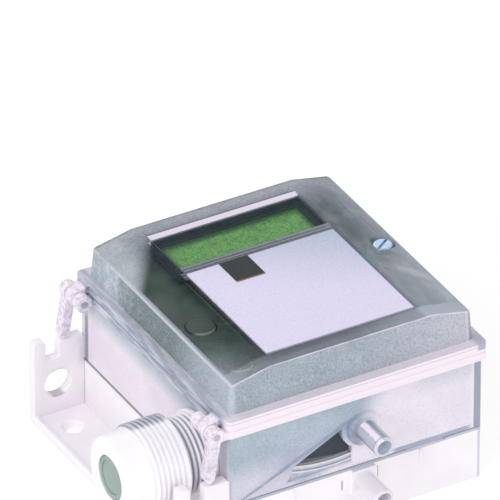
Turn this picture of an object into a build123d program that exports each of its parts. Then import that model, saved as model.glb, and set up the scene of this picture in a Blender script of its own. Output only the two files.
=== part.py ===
from build123d import *
import os
from math import atan2, degrees, hypot, radians, sqrt, tan

# A wall-mounted differential pressure transmitter, in millimetres. The origin is the centre of the
# case's back face. X runs to the right of the display, Y to its top, and Z out of the wall.

# Case, seen from the front
case_width = 79.4
case_length = 84.0
case_wall = 2.0
case_corner = 1.8
inner_corner = 1.2

# Case, from the back face up
back_floor = 2.4
back_height = 17.0
body_height = 24.1
rim_height = 2.3
rim_overhang = 0.8
rim_corner = 1.6
tongue_height = 1.9
tongue_wall = 0.9
seam_groove = 0.5
grip_x = 21.8
grip_width = 12.0
grip_height = 2.8
snap_spacing = 40.0
snap_width = 0.8
snap_length = 5.0
snap_drop = 4.0

# Clearances
seat_gap = 0.1
fit_gap = 0.05
part_gap = 0.3
running_gap = 0.08

# Posts that carry the boards and take the back screws
post_from_wall = 3.5
post_radius = 3.6
board_drop = 5.1
pilot_radius = 1.1
pilot_depth = 9.0
back_sink_depth = 1.8
back_screw_inset = 0.2
screw_end_gap = 1.0

# Side bay on the left, with a plate at each end
bay_depth = 15.7
bay_floor = 2.4
bay_lip = 0.8
bay_lip_width = 1.0
plate_wall = 3.1
plate_overhang = 0.4
plate_post_width = 3.5
plate_post_top = 26.6
plate_notch_width = 4.5
plate_notch_floor = 20.0
plate_column_top = 25.4
plate_hole_radius = 4.4
plate_hole_z = 12.0
plate_hole_from_edge = 7.4
plate_corner = 0.9
plate_bond = 1.0
wall_hole_radius = 2.2
wall_hole_from_end = 11.0
wall_hole_spacing = 34.0
wall_sink_radius = 3.4

# Hinge along the left edge
hinge_out = 3.9
hinge_drop = 0.6
knuckle_radius = 2.4
hinge_pin_radius = 1.0
outer_knuckle = 3.2
lid_knuckle = 3.8
inner_knuckle = 3.2
hinge_root = 0.5
strap_out = 2.1
strap_drop = 12.9
strap_width = 2.8

# Lid
lid_gap = 0.1
lid_rim_height = 3.0
lid_side_inset = 2.45
lid_end_inset = 3.0
lid_edge_height = 11.8
lid_crown = 2.7
lid_slope_width = 12.0
lid_draft = 5.0
lid_wall = 2.0
lid_corner = 1.9
lid_bend_radius = 5.0
lid_crown_round = 0.5
lid_rim_wall = 1.2
groove_inset = 0.8
groove_width = 1.3
groove_depth = 1.2

# Display window and label in the lid
window_side_inset = 14.0
window_length = 16.4
window_from_end = 16.0
window_recess = 0.7
window_lens = 0.8
window_lip = 0.3
window_bevel = 2.0
window_frame_width = 1.0
window_frame_ledge = 0.4
line_gap = 1.5
line_width = 0.35
line_depth = 0.25
label_side_inset = 0.3
label_from_window = 3.45
label_from_end = 6.0
label_thickness = 0.5
label_recess = 0.5
tag_width = 8.9
tag_length = 10.2
tag_from_left = 10.0
tag_thickness = 0.15

# Lid screw, its well, its boss and the pillar under it
screw_from_side = 4.55
screw_y = 1.0
screw_head_radius = 2.8
screw_head_height = 2.2
screw_shank_radius = 1.45
screw_reach = 4.1
screw_slot_width = 0.8
screw_slot_depth = 1.1
screw_turn = 35.0
screw_point = 0.4
screw_head_round = 0.5
well_radius = 3.6
well_depth = 4.3
boss_radius = 4.4
boss_rise = 1.8
ring_height = 0.8
ring_radius = 3.0
pillar_radius = 4.2
pillar_web = 3.0
bush_radius = 2.7
bush_length = 8.0

# Cable gland on the left wall
gland_from_end = 17.0
gland_rise = 8.0
gland_shank_wall = 1.4
gland_flange_step = 0.8
gland_flange = 1.6
gland_thread_radius = 11.2
gland_thread_length = 17.6
gland_thread_start = 1.0
seal_from_thread = 2.5
seal_seat_step = 2.4
seal_depth = 6.0
seal_taper = 0.4
cable_gap = 1.3
nut_wall = 1.8
nut_length = 18.4
nut_tip = 27.3
nut_mouth_step = 0.2
nut_nose_length = 7.6
nut_nose_step = 1.4
nut_end_wall = 2.2
nut_nose_round = 0.8
nut_nose_draft = 0.4
nut_edge = 0.5
nut_step = 0.3
mouth_recess = 0.3
disc_thickness = 1.0
disc_recess = 0.5
clamp_ring = 1.0

# Pressure nozzles in the front wall
port_x = 1.8
port_upper_rise = 12.0
port_lower_drop = 5.2
port_radius = 3.05
port_stem_radius = 2.8
port_bore_radius = 2.2
port_length = 12.0
port_tip_round = 0.6
collar_radius = 5.2
collar_length = 2.2
collar_round = 0.9
lower_collar_radius = 4.0
lower_collar_length = 1.2
lower_collar_corner = 0.8
seal_ring_width = 0.8

# Sight opening in the front wall, left of the upper nozzle
sight_foot_reach = 23.6
sight_foot_rise = 1.2
sight_left_reach = 21.4
sight_left_rise = 5.8
sight_right_reach = 3.2
sight_top_reach = 7.1
sight_top_rise = 12.9
sight_ledge = 0.8
sight_ledge_width = 1.2
brace_left_rise = 0.5
brace_width = 1.3
brace_height = 0.5
brace_inset = 2.8
brace_overlap = 1.0

# Measuring capsule
capsule_x = -3.0
capsule_radius = 20.0
capsule_wall = 1.8
capsule_foot_z = 4.4
capsule_split_rise = 0.3
lower_flange = 1.8
lower_flange_radius = 26.5
flange_lip_height = 2.6
flange_lip = 1.3
diaphragm_thickness = 0.6
upper_flange = 1.8
capsule_headroom = 1.8
capsule_bevel = 1.2
socket_radius = 4.6
socket_length = 6.2
socket_depth = 3.0
bead_radius = 1.6
bead_ring_radius = 15.5
plate_radius = 13.0
plate_thickness = 0.8
tappet_radius = 1.2
tappet_length = 7.0
tappet_foot_radius = 2.4
tappet_foot_height = 1.0
beam_length = 25.0
beam_width = 6.0
beam_thickness = 0.8
beam_clamp_length = 6.0
beam_clamp_height = 1.0
beam_wall_gap = 1.2
beam_boss_margin = 1.0
beam_screw_radius = 0.6
beam_screw_spacing = 3.0
beam_screw_reach = 2.0
beam_hole_depth = 3.0
beam_head_radius = 1.3
beam_head_height = 0.9
pin_radius = 0.4
pin_pitch = 2.54
pin_count = 4
pin_from_axis = 6.0
pin_reach = 1.0
pin_rise = 1.2
m2_radius = 0.9
m2_head_radius = 1.8
m2_head_height = 1.3
capsule_screw_ring_radius = 22.6
capsule_screw_count = 6
foot_ring_radius = 15.0
foot_radius = 3.0

# Circuit board and what it carries
board_inset = 0.7
board_thickness = 1.6
board_corner = 2.0
board_notch = 9.0
board_notch_length = 16.0
terminal_from_edge = 13.0
terminal_from_gland = 7.5
terminal_pitch = 5.08
terminal_count = 3
terminal_depth = 8.6
terminal_height = 7.0
terminal_bevel = 1.2
terminal_well_radius = 1.75
terminal_screw_radius = 1.7
terminal_screw_height = 1.6
terminal_stem_radius = 1.0
terminal_stem_reach = 1.0
terminal_slot_width = 0.6
terminal_slot_depth = 0.8
wire_hole_radius = 1.5
wire_hole_rise = 2.3
clamp_size = 4.0
clamp_height = 4.2
jumper_from_edge = 23.0
jumper_from_header = 8.0
jumper_pin_size = 0.64
jumper_base = 2.5
jumper_pin_height = 7.0
jumper_side_gap = 0.1
jumper_drop = 0.5
header_x = 6.0
header_from_edge = 6.3
header_width = 15.2
header_depth = 2.5
chip_shares = ((0.16, 0.2), (-0.22, 0.05))
chip_size = (10.0, 7.6, 1.9)
capacitor_shares = ((-0.54, 0.2), (-0.54, 0.43))
capacitor_radius = 3.2
capacitor_height = 6.4
coil_share = (0.49, -0.61)
coil_size = 7.4
coil_height = 3.6
coil_corner = 1.5

# Display stack under the lid
spacer_from_side = 8.5
spacer_from_end = 6.3
spacer_radius = 2.5
spacer_length = 8.0
display_side_gap = 2.75
display_end_gap = 2.7
display_board_thickness = 1.4
display_board_corner = 1.5
display_headroom = 0.5
glass_border = 1.4
glass_thickness = 1.1
glass_recess = 0.6
display_corner = 0.8
panel_inset = 0.2
boss_clearance = 1.8
panel_height = 3.6
panel_wall = 1.6
panel_skirt = 1.2
panel_round = 0.6
panel_inner_corner = 0.8
key_from_side = 5.9
key_from_end = 9.0
key_spacing = 20.7
key_radius = 4.2
key_proud = 0.6
key_cap_height = 1.4
key_stem_radius = 1.5
key_stem_reach = 0.7
key_stem_floor = 0.2
key_round = 0.5
key_travel = 0.6
switch_size = 7.4
switch_height = 1.7

# Sizes that follow from those above
inner_width = case_width - 2 * case_wall
inner_length = case_length - 2 * case_wall
rim_width = case_width + 2 * rim_overhang
rim_length = case_length + 2 * rim_overhang
wall_left = -case_width / 2
front_y = -case_length / 2
body_top = back_height + body_height
board_seat = body_top - board_drop
board_top = board_seat + board_thickness
board_width = inner_width - 2 * board_inset
board_length = inner_length - 2 * board_inset
post_x = inner_width / 2 - post_from_wall
post_y = inner_length / 2 - post_from_wall

# The bay and the hinge
bay_left = wall_left - bay_depth
plate_outer_y = case_length / 2 + plate_overhang
plate_middle_y = plate_outer_y - plate_wall / 2
wall_hole_high = case_length / 2 - wall_hole_from_end
wall_hole_low = wall_hole_high - wall_hole_spacing
hinge_x = wall_left - hinge_out
hinge_z = body_top - hinge_drop
hinge_end = plate_outer_y
outer_middle = hinge_end - outer_knuckle / 2
lid_middle = hinge_end - outer_knuckle - part_gap - lid_knuckle / 2
inner_middle = lid_middle - lid_knuckle / 2 - part_gap - inner_knuckle / 2
hinge_reach = wall_left - rim_overhang + hinge_root - hinge_x
strap_end_x = hinge_x - strap_out
strap_end_z = hinge_z - strap_drop
strap_length = hypot(strap_out, strap_drop)
strap_angle = degrees(atan2(-strap_drop, -strap_out))
strap_middle_x = (hinge_x + strap_end_x) / 2
strap_middle_z = (hinge_z + strap_end_z) / 2

# The lid, its window, label and screw
lid_width = case_width - 2 * lid_side_inset
lid_length = case_length - 2 * lid_end_inset
lid_base_z = body_top + lid_gap
lid_rim_top = lid_base_z + lid_rim_height
lid_edge_z = lid_base_z + lid_edge_height
lid_top_z = lid_edge_z + lid_crown
lid_spread = (lid_edge_z - lid_rim_top) * tan(radians(lid_draft))
window_width = lid_width - 2 * window_side_inset
window_y = lid_length / 2 - window_from_end
window_low = window_y - window_length / 2
window_high = window_y + window_length / 2
window_top_z = lid_top_z - window_recess
window_rebate_z = window_top_z - window_lens
view_width = window_width - 2 * window_frame_width
view_length = window_length - 2 * window_frame_width
label_width = window_width - 2 * label_side_inset
label_high = window_low - label_from_window
label_low = label_from_end - lid_length / 2
label_length = label_high - label_low
label_y = (label_high + label_low) / 2
screw_x = lid_width / 2 - screw_from_side
well_floor_z = lid_top_z - well_depth
boss_end_z = lid_base_z + boss_rise
pillar_top = body_top - seat_gap
screw_tip_z = pillar_top - screw_reach

# The gland, the nozzles and the sight opening
gland_y = front_y + gland_from_end
gland_z = back_height + gland_rise
nut_tip_x = wall_left - nut_tip
nut_root_x = nut_tip_x + nut_length
nut_shoulder_x = nut_tip_x + nut_nose_length
nut_floor_x = nut_tip_x + nut_end_wall
gland_end_x = wall_left - gland_thread_length
gland_flange_radius = gland_thread_radius + gland_flange_step
seal_radius = gland_thread_radius - seal_from_thread
gland_bore_radius = seal_radius - seal_seat_step
gland_shank_radius = gland_bore_radius + gland_shank_wall
cable_radius = gland_bore_radius - cable_gap
nut_radius = gland_thread_radius + nut_wall
nut_nose_radius = nut_radius - nut_nose_step
nut_mouth_radius = gland_bore_radius + nut_mouth_step
port_upper_z = back_height + port_upper_rise
port_lower_z = back_height - port_lower_drop
sight_foot_x = port_x - sight_foot_reach
sight_foot_z = back_height + sight_foot_rise
sight_left_x = port_x - sight_left_reach
sight_left_z = back_height + sight_left_rise
sight_right_x = port_x - sight_right_reach
sight_top_x = port_x - sight_top_reach
sight_top_z = back_height + sight_top_rise
brace_left_x = wall_left + brace_inset
brace_left_z = back_height + brace_left_rise
brace_right_x = port_x - brace_overlap
brace_right_z = port_upper_z + collar_radius

# The capsule
capsule_y = lower_flange_radius + part_gap - inner_length / 2
capsule_split_z = back_height + capsule_split_rise
capsule_top_z = board_seat - capsule_headroom
capsule_inner = capsule_radius - capsule_wall
upper_flange_z = capsule_split_z + diaphragm_thickness
beam_seat_z = upper_flange_z + plate_thickness + tappet_length
beam_end_x = capsule_x + capsule_inner - beam_wall_gap
beam_clamp_x = beam_end_x - beam_clamp_length / 2
pin_x = capsule_x + pin_from_axis

# The boards, the display and the keys
terminal_x = terminal_from_edge - board_width / 2
terminal_y = gland_y + terminal_from_gland
terminal_y_places = [
    terminal_y + (index - (terminal_count - 1) / 2) * terminal_pitch
    for index in range(terminal_count)
]
clamp_hole_z = board_top + wire_hole_rise
header_y = board_length / 2 - header_from_edge
jumper_x = board_width / 2 - jumper_from_edge
jumper_y = header_y - jumper_from_header
spacer_x = board_width / 2 - spacer_from_side
spacer_y = board_length / 2 - spacer_from_end
display_seat = board_top + spacer_length
display_board_top = display_seat + display_board_thickness
display_board_width = lid_width - 2 * display_side_gap
display_board_length = lid_length - 2 * display_end_gap
display_top_z = lid_top_z - lid_wall - display_headroom
glass_width = window_width - 2 * glass_border
glass_length = window_length - 2 * glass_border
panel_width = display_board_width - 2 * panel_inset
panel_length = display_board_length - 2 * panel_inset
panel_top_z = display_board_top + panel_height
key_x = key_from_side - display_board_width / 2
key_low_y = key_from_end - display_board_length / 2
key_y = (key_low_y + key_spacing, key_low_y)
key_top_z = panel_top_z + key_proud
switch_top = display_board_top + switch_height


def front_plane(y):
    """A plane square to Y whose sketches read (x, z)."""
    return Plane(origin=(0, y, 0), x_dir=(1, 0, 0), z_dir=(0, -1, 0))


def left_plane(x):
    """A plane square to X, looking out to the left, whose sketches read (-y, z)."""
    return Plane(origin=(x, 0, 0), x_dir=(0, -1, 0), z_dir=(-1, 0, 0))


def on_board(shares):
    """Places on the circuit board, from shares of its half width and half length."""
    return [(x * board_width / 2, y * board_length / 2) for x, y in shares]


def finish(part, name):
    """Names a finished piece and writes it."""
    part.label = name
    export_step(part, f"parts/{name}.step")


os.makedirs("parts", exist_ok=True)

# Back shell, an open tray
with BuildPart() as back_shell:
    with BuildSketch():
        RectangleRounded(case_width, case_length, case_corner)
    extrude(amount=back_height)
    with BuildSketch(Plane.XY.offset(back_floor)):
        RectangleRounded(inner_width, inner_length, inner_corner)
    extrude(amount=back_height, mode=Mode.SUBTRACT)
    with BuildSketch(Plane.XY.offset(back_height - tongue_height - seat_gap)):
        RectangleRounded(
            inner_width + 2 * (tongue_wall + fit_gap),
            inner_length + 2 * (tongue_wall + fit_gap),
            case_corner,
        )
    extrude(amount=back_height, mode=Mode.SUBTRACT)
    with BuildSketch(Plane.XY.offset(back_height - seam_groove)):
        RectangleRounded(case_width + 2 * seam_groove, case_length + 2 * seam_groove, case_corner)
        RectangleRounded(
            case_width - 2 * seam_groove,
            case_length - 2 * seam_groove,
            case_corner - seam_groove,
            mode=Mode.SUBTRACT,
        )
    extrude(amount=back_height, mode=Mode.SUBTRACT)
    # Feet under the capsule, and stands for the back screws
    with BuildSketch(Plane.XY.offset(back_floor)):
        with Locations((capsule_x, capsule_y)):
            with PolarLocations(foot_ring_radius, 3, start_angle=90):
                Circle(foot_radius)
    extrude(amount=capsule_foot_z - back_floor)
    with BuildSketch(Plane.XY.offset(back_floor)):
        with GridLocations(2 * post_x, 2 * post_y, 2, 2):
            Circle(post_radius)
        with Locations((screw_x, screw_y)):
            Circle(pillar_radius)
        Rectangle(inner_width + case_wall, inner_length + case_wall, mode=Mode.INTERSECT)
    extrude(amount=back_height - tongue_height - seat_gap - back_floor)
    # Holes for the back screws
    with Locations(Plane.XY.rotated((180, 0, 0))):
        with GridLocations(2 * post_x, 2 * post_y, 2, 2):
            CounterBoreHole(m2_radius + fit_gap, m2_head_radius + fit_gap, back_sink_depth)
    # Lower nozzle: a flat boss outside, a seat inside and a hole
    with BuildSketch(front_plane(front_y)):
        with Locations((port_x, port_lower_z)):
            RectangleRounded(
                2 * lower_collar_radius, 2 * lower_collar_radius, lower_collar_corner
            )
    extrude(amount=lower_collar_length)
    with Locations(front_plane(front_y - lower_collar_length)):
        with Locations((port_x, port_lower_z)):
            Hole(port_stem_radius + fit_gap, depth=lower_collar_length + case_wall)
    # Grip notch at the seam and two snap ribs
    with BuildSketch(front_plane(front_y)):
        with Locations((grip_x, back_height)):
            Rectangle(grip_width, grip_height)
    extrude(amount=-case_wall / 2, mode=Mode.SUBTRACT)
    with BuildSketch(front_plane(front_y)):
        with GridLocations(snap_spacing, 0, 2, 1):
            with Locations((0, back_height - snap_drop)):
                Rectangle(snap_width, snap_length)
    extrude(amount=seam_groove)
finish(back_shell.part, "back_shell")

# Side bay against the tray: a floor with a low lip along its outer edge
with BuildPart() as side_bay:
    with BuildSketch():
        with Locations((bay_left, 0)):
            Rectangle(bay_depth + plate_bond, 2 * plate_outer_y, align=(Align.MIN, Align.CENTER))
    extrude(amount=bay_floor)
    with BuildSketch(Plane.XY.offset(bay_floor)):
        with Locations((bay_left, 0)):
            Rectangle(bay_lip_width, 2 * plate_outer_y, align=(Align.MIN, Align.CENTER))
    extrude(amount=bay_lip)
    # End plates: a post, a notch for a tie, a column beside the wall and a round hole
    plate_edge = wall_left - seat_gap
    notch_left = bay_left + plate_post_width
    notch_right = notch_left + plate_notch_width
    with BuildSketch(front_plane(plate_middle_y)):
        with BuildLine():
            FilletPolyline(
                (plate_edge, 0),
                (bay_left, 0),
                (bay_left, plate_post_top),
                (notch_left, plate_post_top),
                (notch_left, plate_notch_floor),
                (notch_right, plate_notch_floor),
                (notch_right, plate_column_top),
                (plate_edge, plate_column_top),
                radius=plate_corner,
                close=True,
            )
        make_face()
        with Locations((bay_left + plate_hole_from_edge, plate_hole_z)):
            Circle(plate_hole_radius, mode=Mode.SUBTRACT)
    end_plate = extrude(amount=plate_wall / 2, both=True)
    mirror(end_plate, about=Plane.XZ)
    # Webs that join the end plates to the tray below the seam
    with BuildSketch(Plane.XY.offset(bay_floor)):
        with GridLocations(0, 2 * plate_middle_y, 1, 2):
            with Locations((plate_edge, 0)):
                Rectangle(2 * plate_bond, plate_wall - plate_bond)
    extrude(amount=back_height - 2 * seam_groove - bay_floor)
    # Trimmed to the outline of the tray
    with BuildSketch():
        RectangleRounded(case_width, case_length, case_corner)
    extrude(amount=back_height, mode=Mode.SUBTRACT)
    # Holes for the wall screws
    wall_hole_x = bay_left + plate_hole_from_edge
    with Locations((wall_hole_x, wall_hole_high, bay_floor), (wall_hole_x, wall_hole_low, bay_floor)):
        CounterSinkHole(wall_hole_radius, wall_sink_radius)
finish(side_bay.part, "side_bay")

# Case body, the upper walls with the rim, posts, screw pillar and hinge arms
with BuildPart() as case_body:
    with BuildSketch(Plane.XY.offset(back_height)):
        RectangleRounded(case_width, case_length, case_corner)
    extrude(amount=body_top - back_height)
    with BuildSketch(Plane.XY.offset(body_top - rim_height)):
        RectangleRounded(rim_width, rim_length, rim_corner)
    extrude(amount=rim_height)
    with BuildSketch(Plane.XY.offset(back_height)):
        RectangleRounded(inner_width, inner_length, inner_corner)
    extrude(amount=body_top, mode=Mode.SUBTRACT)
    with BuildSketch(Plane.XY.offset(back_height - tongue_height)):
        RectangleRounded(
            inner_width + 2 * tongue_wall, inner_length + 2 * tongue_wall, case_corner
        )
        RectangleRounded(inner_width, inner_length, inner_corner, mode=Mode.SUBTRACT)
    extrude(amount=tongue_height)
    # Groove for the lid gasket
    with BuildSketch(Plane.XY.offset(body_top)):
        RectangleRounded(
            inner_width + 2 * (groove_inset + groove_width),
            inner_length + 2 * (groove_inset + groove_width),
            rim_corner,
        )
        RectangleRounded(
            inner_width + 2 * groove_inset,
            inner_length + 2 * groove_inset,
            inner_corner,
            mode=Mode.SUBTRACT,
        )
    extrude(amount=-groove_depth, mode=Mode.SUBTRACT)
    # Board posts and the pillar under the lid screw
    with BuildSketch(Plane.XY.offset(back_height - tongue_height)):
        with GridLocations(2 * post_x, 2 * post_y, 2, 2):
            Circle(post_radius)
        Rectangle(inner_width + case_wall, inner_length + case_wall, mode=Mode.INTERSECT)
    extrude(amount=board_seat - back_height + tongue_height)
    with BuildSketch(Plane.XY.offset(back_height - tongue_height)):
        with Locations((screw_x, screw_y)):
            Circle(pillar_radius)
            Rectangle(
                (inner_width + groove_inset) / 2 - screw_x,
                pillar_web,
                align=(Align.MIN, Align.CENTER),
            )
    extrude(amount=pillar_top - back_height + tongue_height)
    with Locations(Plane.XY.offset(board_seat)):
        with GridLocations(2 * post_x, 2 * post_y, 2, 2):
            Hole(pilot_radius, depth=pilot_depth)
    with Locations(Plane.XY.offset(back_height - tongue_height).rotated((180, 0, 0))):
        with GridLocations(2 * post_x, 2 * post_y, 2, 2):
            Hole(pilot_radius, depth=pilot_depth)
    with Locations((screw_x, screw_y, pillar_top)):
        Hole(bush_radius, depth=bush_length)
    # Hinge knuckles at both ends, each outer one with its sloping strap
    with BuildSketch(front_plane(outer_middle)):
        with Locations((hinge_x, hinge_z)):
            Circle(knuckle_radius)
        with Locations((hinge_x, body_top)):
            Rectangle(hinge_reach, rim_height, align=(Align.MIN, Align.MAX))
        with Locations(Location((strap_middle_x, strap_middle_z), strap_angle)):
            SlotCenterToCenter(strap_length, strap_width)
        with Locations((hinge_x, hinge_z)):
            Circle(hinge_pin_radius + fit_gap, mode=Mode.SUBTRACT)
    outer_arm = extrude(amount=outer_knuckle / 2, both=True)
    with BuildSketch(front_plane(inner_middle)):
        with Locations((hinge_x, hinge_z)):
            Circle(knuckle_radius)
        with Locations((hinge_x, body_top)):
            Rectangle(hinge_reach, rim_height, align=(Align.MIN, Align.MAX))
        with Locations((hinge_x, hinge_z)):
            Circle(hinge_pin_radius + fit_gap, mode=Mode.SUBTRACT)
    inner_arm = extrude(amount=inner_knuckle / 2, both=True)
    mirror([outer_arm, inner_arm], about=Plane.XZ)
    # Opening for the gland
    with Locations(left_plane(wall_left)):
        with Locations((-gland_y, gland_z)):
            Hole(gland_shank_radius + fit_gap, depth=case_wall)
    # Collar and hole for the upper nozzle
    with BuildSketch(front_plane(front_y)):
        with Locations((port_x, port_upper_z)):
            Circle(collar_radius)
    collar = extrude(amount=collar_length)
    fillet(collar.edges().filter_by(GeomType.CIRCLE).sort_by(Axis.Y)[0], collar_round)
    with Locations(front_plane(front_y - collar_length)):
        with Locations((port_x, port_upper_z)):
            Hole(port_stem_radius + fit_gap, depth=collar_length + case_wall)
    # Sight opening with a ledge for its glass
    with BuildSketch(front_plane(front_y)) as sight_outline:
        with BuildLine():
            Polyline(
                (sight_foot_x, sight_foot_z),
                (sight_left_x, sight_left_z),
                (sight_top_x, sight_top_z),
                (sight_right_x, sight_top_z),
                (sight_right_x, sight_foot_z),
                close=True,
            )
        make_face()
        with Locations((port_x, port_upper_z)):
            Circle(collar_radius + sight_ledge_width, mode=Mode.SUBTRACT)
    extrude(amount=-case_wall, mode=Mode.SUBTRACT)
    # Sloping brace from the lower left corner up to the collar
    with BuildSketch(front_plane(front_y)):
        with BuildLine():
            Polyline(
                (brace_left_x, brace_left_z),
                (brace_right_x, brace_right_z),
                (brace_right_x, brace_right_z - brace_width),
                (brace_left_x + brace_width, brace_left_z),
                close=True,
            )
        make_face()
        with Locations((port_x, port_upper_z)):
            Circle(port_stem_radius + fit_gap, mode=Mode.SUBTRACT)
    extrude(amount=brace_height)
finish(case_body.part, "case_body")

# Sight glass, bonded in its opening
with BuildPart() as sight_glass:
    with BuildSketch(front_plane(front_y + sight_ledge)):
        add(sight_outline.sketch_local)
    extrude(amount=-(case_wall - sight_ledge))
finish(sight_glass.part, "sight_glass")

# Hinge pins, pressed into the knuckles of the case
with BuildPart() as hinge_pins:
    with BuildSketch(front_plane(-hinge_end)):
        with Locations((hinge_x, hinge_z)):
            Circle(hinge_pin_radius)
    pin = extrude(amount=-(hinge_end - inner_middle + inner_knuckle / 2))
    mirror(pin, about=Plane.XZ)
finish(hinge_pins.part, "hinge_pins")

# Gasket in the groove of the rim
with BuildPart() as lid_gasket:
    with BuildSketch(Plane.XY.offset(body_top - groove_depth)):
        RectangleRounded(
            inner_width + 2 * (groove_inset + groove_width) - fit_gap,
            inner_length + 2 * (groove_inset + groove_width) - fit_gap,
            rim_corner,
        )
        RectangleRounded(
            inner_width + 2 * groove_inset + fit_gap,
            inner_length + 2 * groove_inset + fit_gap,
            inner_corner,
            mode=Mode.SUBTRACT,
        )
    extrude(amount=groove_depth + lid_gap / 2)
finish(lid_gasket.part, "lid_gasket")


def crown_sky(drop):
    """The space over the lid's crown, lowered by drop, as a sketch in (x, z)."""
    reach = lid_width / 2 + 3 * lid_bend_radius
    flat = lid_width / 2 - lid_slope_width
    fall = (reach - flat) * lid_crown / lid_slope_width
    top = lid_top_z - drop
    with BuildSketch(Plane.XZ) as sky:
        with BuildLine():
            FilletPolyline(
                (-reach, top - fall),
                (-flat, top),
                (flat, top),
                (reach, top - fall),
                (reach, lid_top_z + 4 * lid_bend_radius),
                (-reach, lid_top_z + 4 * lid_bend_radius),
                radius=lid_bend_radius,
                close=True,
            )
        make_face()
    return sky.sketch


# Hollow of the lid
with BuildPart() as lid_hollow:
    with BuildSketch(Plane.XY.offset(lid_rim_top)):
        RectangleRounded(
            lid_width + 2 * (lid_spread - lid_wall),
            lid_length + 2 * (lid_spread - lid_wall),
            inner_corner,
        )
    extrude(amount=lid_top_z - lid_rim_top, taper=lid_draft)
    with BuildSketch(Plane.XY.offset(lid_base_z)):
        RectangleRounded(
            lid_width + 2 * (lid_spread - lid_wall),
            lid_length + 2 * (lid_spread - lid_wall),
            inner_corner,
        )
    extrude(amount=lid_rim_height)
    with BuildSketch(Plane.XY.offset(lid_base_z)):
        RectangleRounded(inner_width, inner_length, inner_corner)
    extrude(amount=lid_rim_height - lid_rim_wall)
    extrude(crown_sky(lid_wall), amount=case_length, both=True, mode=Mode.SUBTRACT)

# Lid, a crowned box over a flat rim
with BuildPart() as lid:
    with BuildSketch(Plane.XY.offset(lid_base_z)):
        RectangleRounded(rim_width, rim_length, rim_corner)
    extrude(amount=lid_rim_height)
    with BuildSketch(Plane.XY.offset(lid_rim_top)):
        RectangleRounded(lid_width + 2 * lid_spread, lid_length + 2 * lid_spread, lid_corner)
    extrude(amount=lid_top_z + 1 - lid_rim_top, taper=lid_draft)
    extrude(crown_sky(0), amount=case_length, both=True, mode=Mode.SUBTRACT)
    fillet(faces().sort_by(Axis.Z)[-1].edges().filter_by(Axis.X), lid_crown_round)
    add(lid_hollow.part, mode=Mode.SUBTRACT)
    # Boss for the lid screw, with its well
    with BuildSketch(Plane.XY.offset(boss_end_z)):
        with Locations((screw_x, screw_y)):
            Circle(boss_radius)
    extrude(amount=lid_edge_z - lid_wall / 2 - boss_end_z)
    with Locations((screw_x, screw_y, lid_top_z)):
        CounterBoreHole(
            screw_shank_radius + running_gap, well_radius, lid_top_z - well_floor_z
        )
    # Recess for the label, and the rebated opening of the display window
    with BuildSketch(Plane.XY.offset(lid_top_z)):
        with Locations((0, label_y)):
            Rectangle(label_width + 2 * seat_gap, label_length + 2 * seat_gap)
    extrude(amount=-label_recess, mode=Mode.SUBTRACT)
    with BuildSketch(Plane.XY.offset(lid_top_z)):
        with Locations((0, window_y)):
            Rectangle(window_width, window_length)
    extrude(amount=window_rebate_z - lid_top_z, mode=Mode.SUBTRACT)
    with BuildSketch(Plane.XY.offset(lid_top_z)):
        with Locations((0, window_y)):
            Rectangle(window_width - 2 * window_lip, window_length - 2 * window_lip)
    extrude(amount=-lid_wall, mode=Mode.SUBTRACT)
    # Bevel along the upper edge of the window, and twin lines between window and label
    with BuildSketch(Plane.YZ):
        with BuildLine():
            Polyline(
                (window_high, window_top_z),
                (window_high, lid_top_z),
                (window_high + window_bevel, lid_top_z),
                close=True,
            )
        make_face()
    extrude(amount=window_width / 2, both=True, mode=Mode.SUBTRACT)
    with BuildSketch(Plane.XY.offset(lid_top_z)):
        with Locations((0, (window_low + label_high) / 2)):
            with GridLocations(1, line_gap, 1, 2):
                Rectangle(window_width, line_width)
    extrude(amount=-line_depth, mode=Mode.SUBTRACT)
    # Hinge knuckles of the lid
    with BuildSketch(front_plane(lid_middle)):
        with BuildLine():
            Polyline(
                (hinge_x, hinge_z + knuckle_radius),
                (hinge_x + hinge_reach, lid_rim_top),
                (hinge_x + hinge_reach, lid_base_z),
                (hinge_x + knuckle_radius - seat_gap, lid_base_z),
                (hinge_x, hinge_z),
                close=True,
            )
        make_face()
        with Locations((hinge_x, hinge_z)):
            Circle(knuckle_radius)
            Circle(hinge_pin_radius + running_gap, mode=Mode.SUBTRACT)
    lid_arm = extrude(amount=lid_knuckle / 2, both=True)
    mirror(lid_arm, about=Plane.XZ)
finish(lid.part, "lid")

# Dark frame in the window's rebate, with a skirt through the lid
with BuildPart() as window_frame:
    with BuildSketch(Plane.XY.offset(window_rebate_z)):
        with Locations((0, window_y)):
            Rectangle(window_width - 2 * seat_gap, window_length - 2 * seat_gap)
    extrude(amount=window_lens)
    skirt_inset = window_lip + seat_gap
    with BuildSketch(Plane.XY.offset(window_rebate_z)):
        with Locations((0, window_y)):
            Rectangle(window_width - 2 * skirt_inset, window_length - 2 * skirt_inset)
    extrude(amount=lid_top_z - lid_wall - window_rebate_z)
    with BuildSketch(Plane.XY.offset(window_top_z)):
        with Locations((0, window_y)):
            Rectangle(view_width, view_length)
    extrude(amount=-lid_wall, mode=Mode.SUBTRACT)
    with BuildSketch(Plane.XY.offset(window_rebate_z)):
        with Locations((0, window_y)):
            Rectangle(view_width + 2 * window_frame_ledge, view_length + 2 * window_frame_ledge)
    extrude(amount=window_lens, mode=Mode.SUBTRACT)
finish(window_frame.part, "window_frame")

# Window over the display, seated in its frame
with BuildPart() as display_window:
    lens_reach = window_frame_ledge - fit_gap
    with BuildSketch(Plane.XY.offset(window_rebate_z)):
        with Locations((0, window_y)):
            Rectangle(view_width + 2 * lens_reach, view_length + 2 * lens_reach)
    extrude(amount=window_lens)
finish(display_window.part, "display_window")

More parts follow.
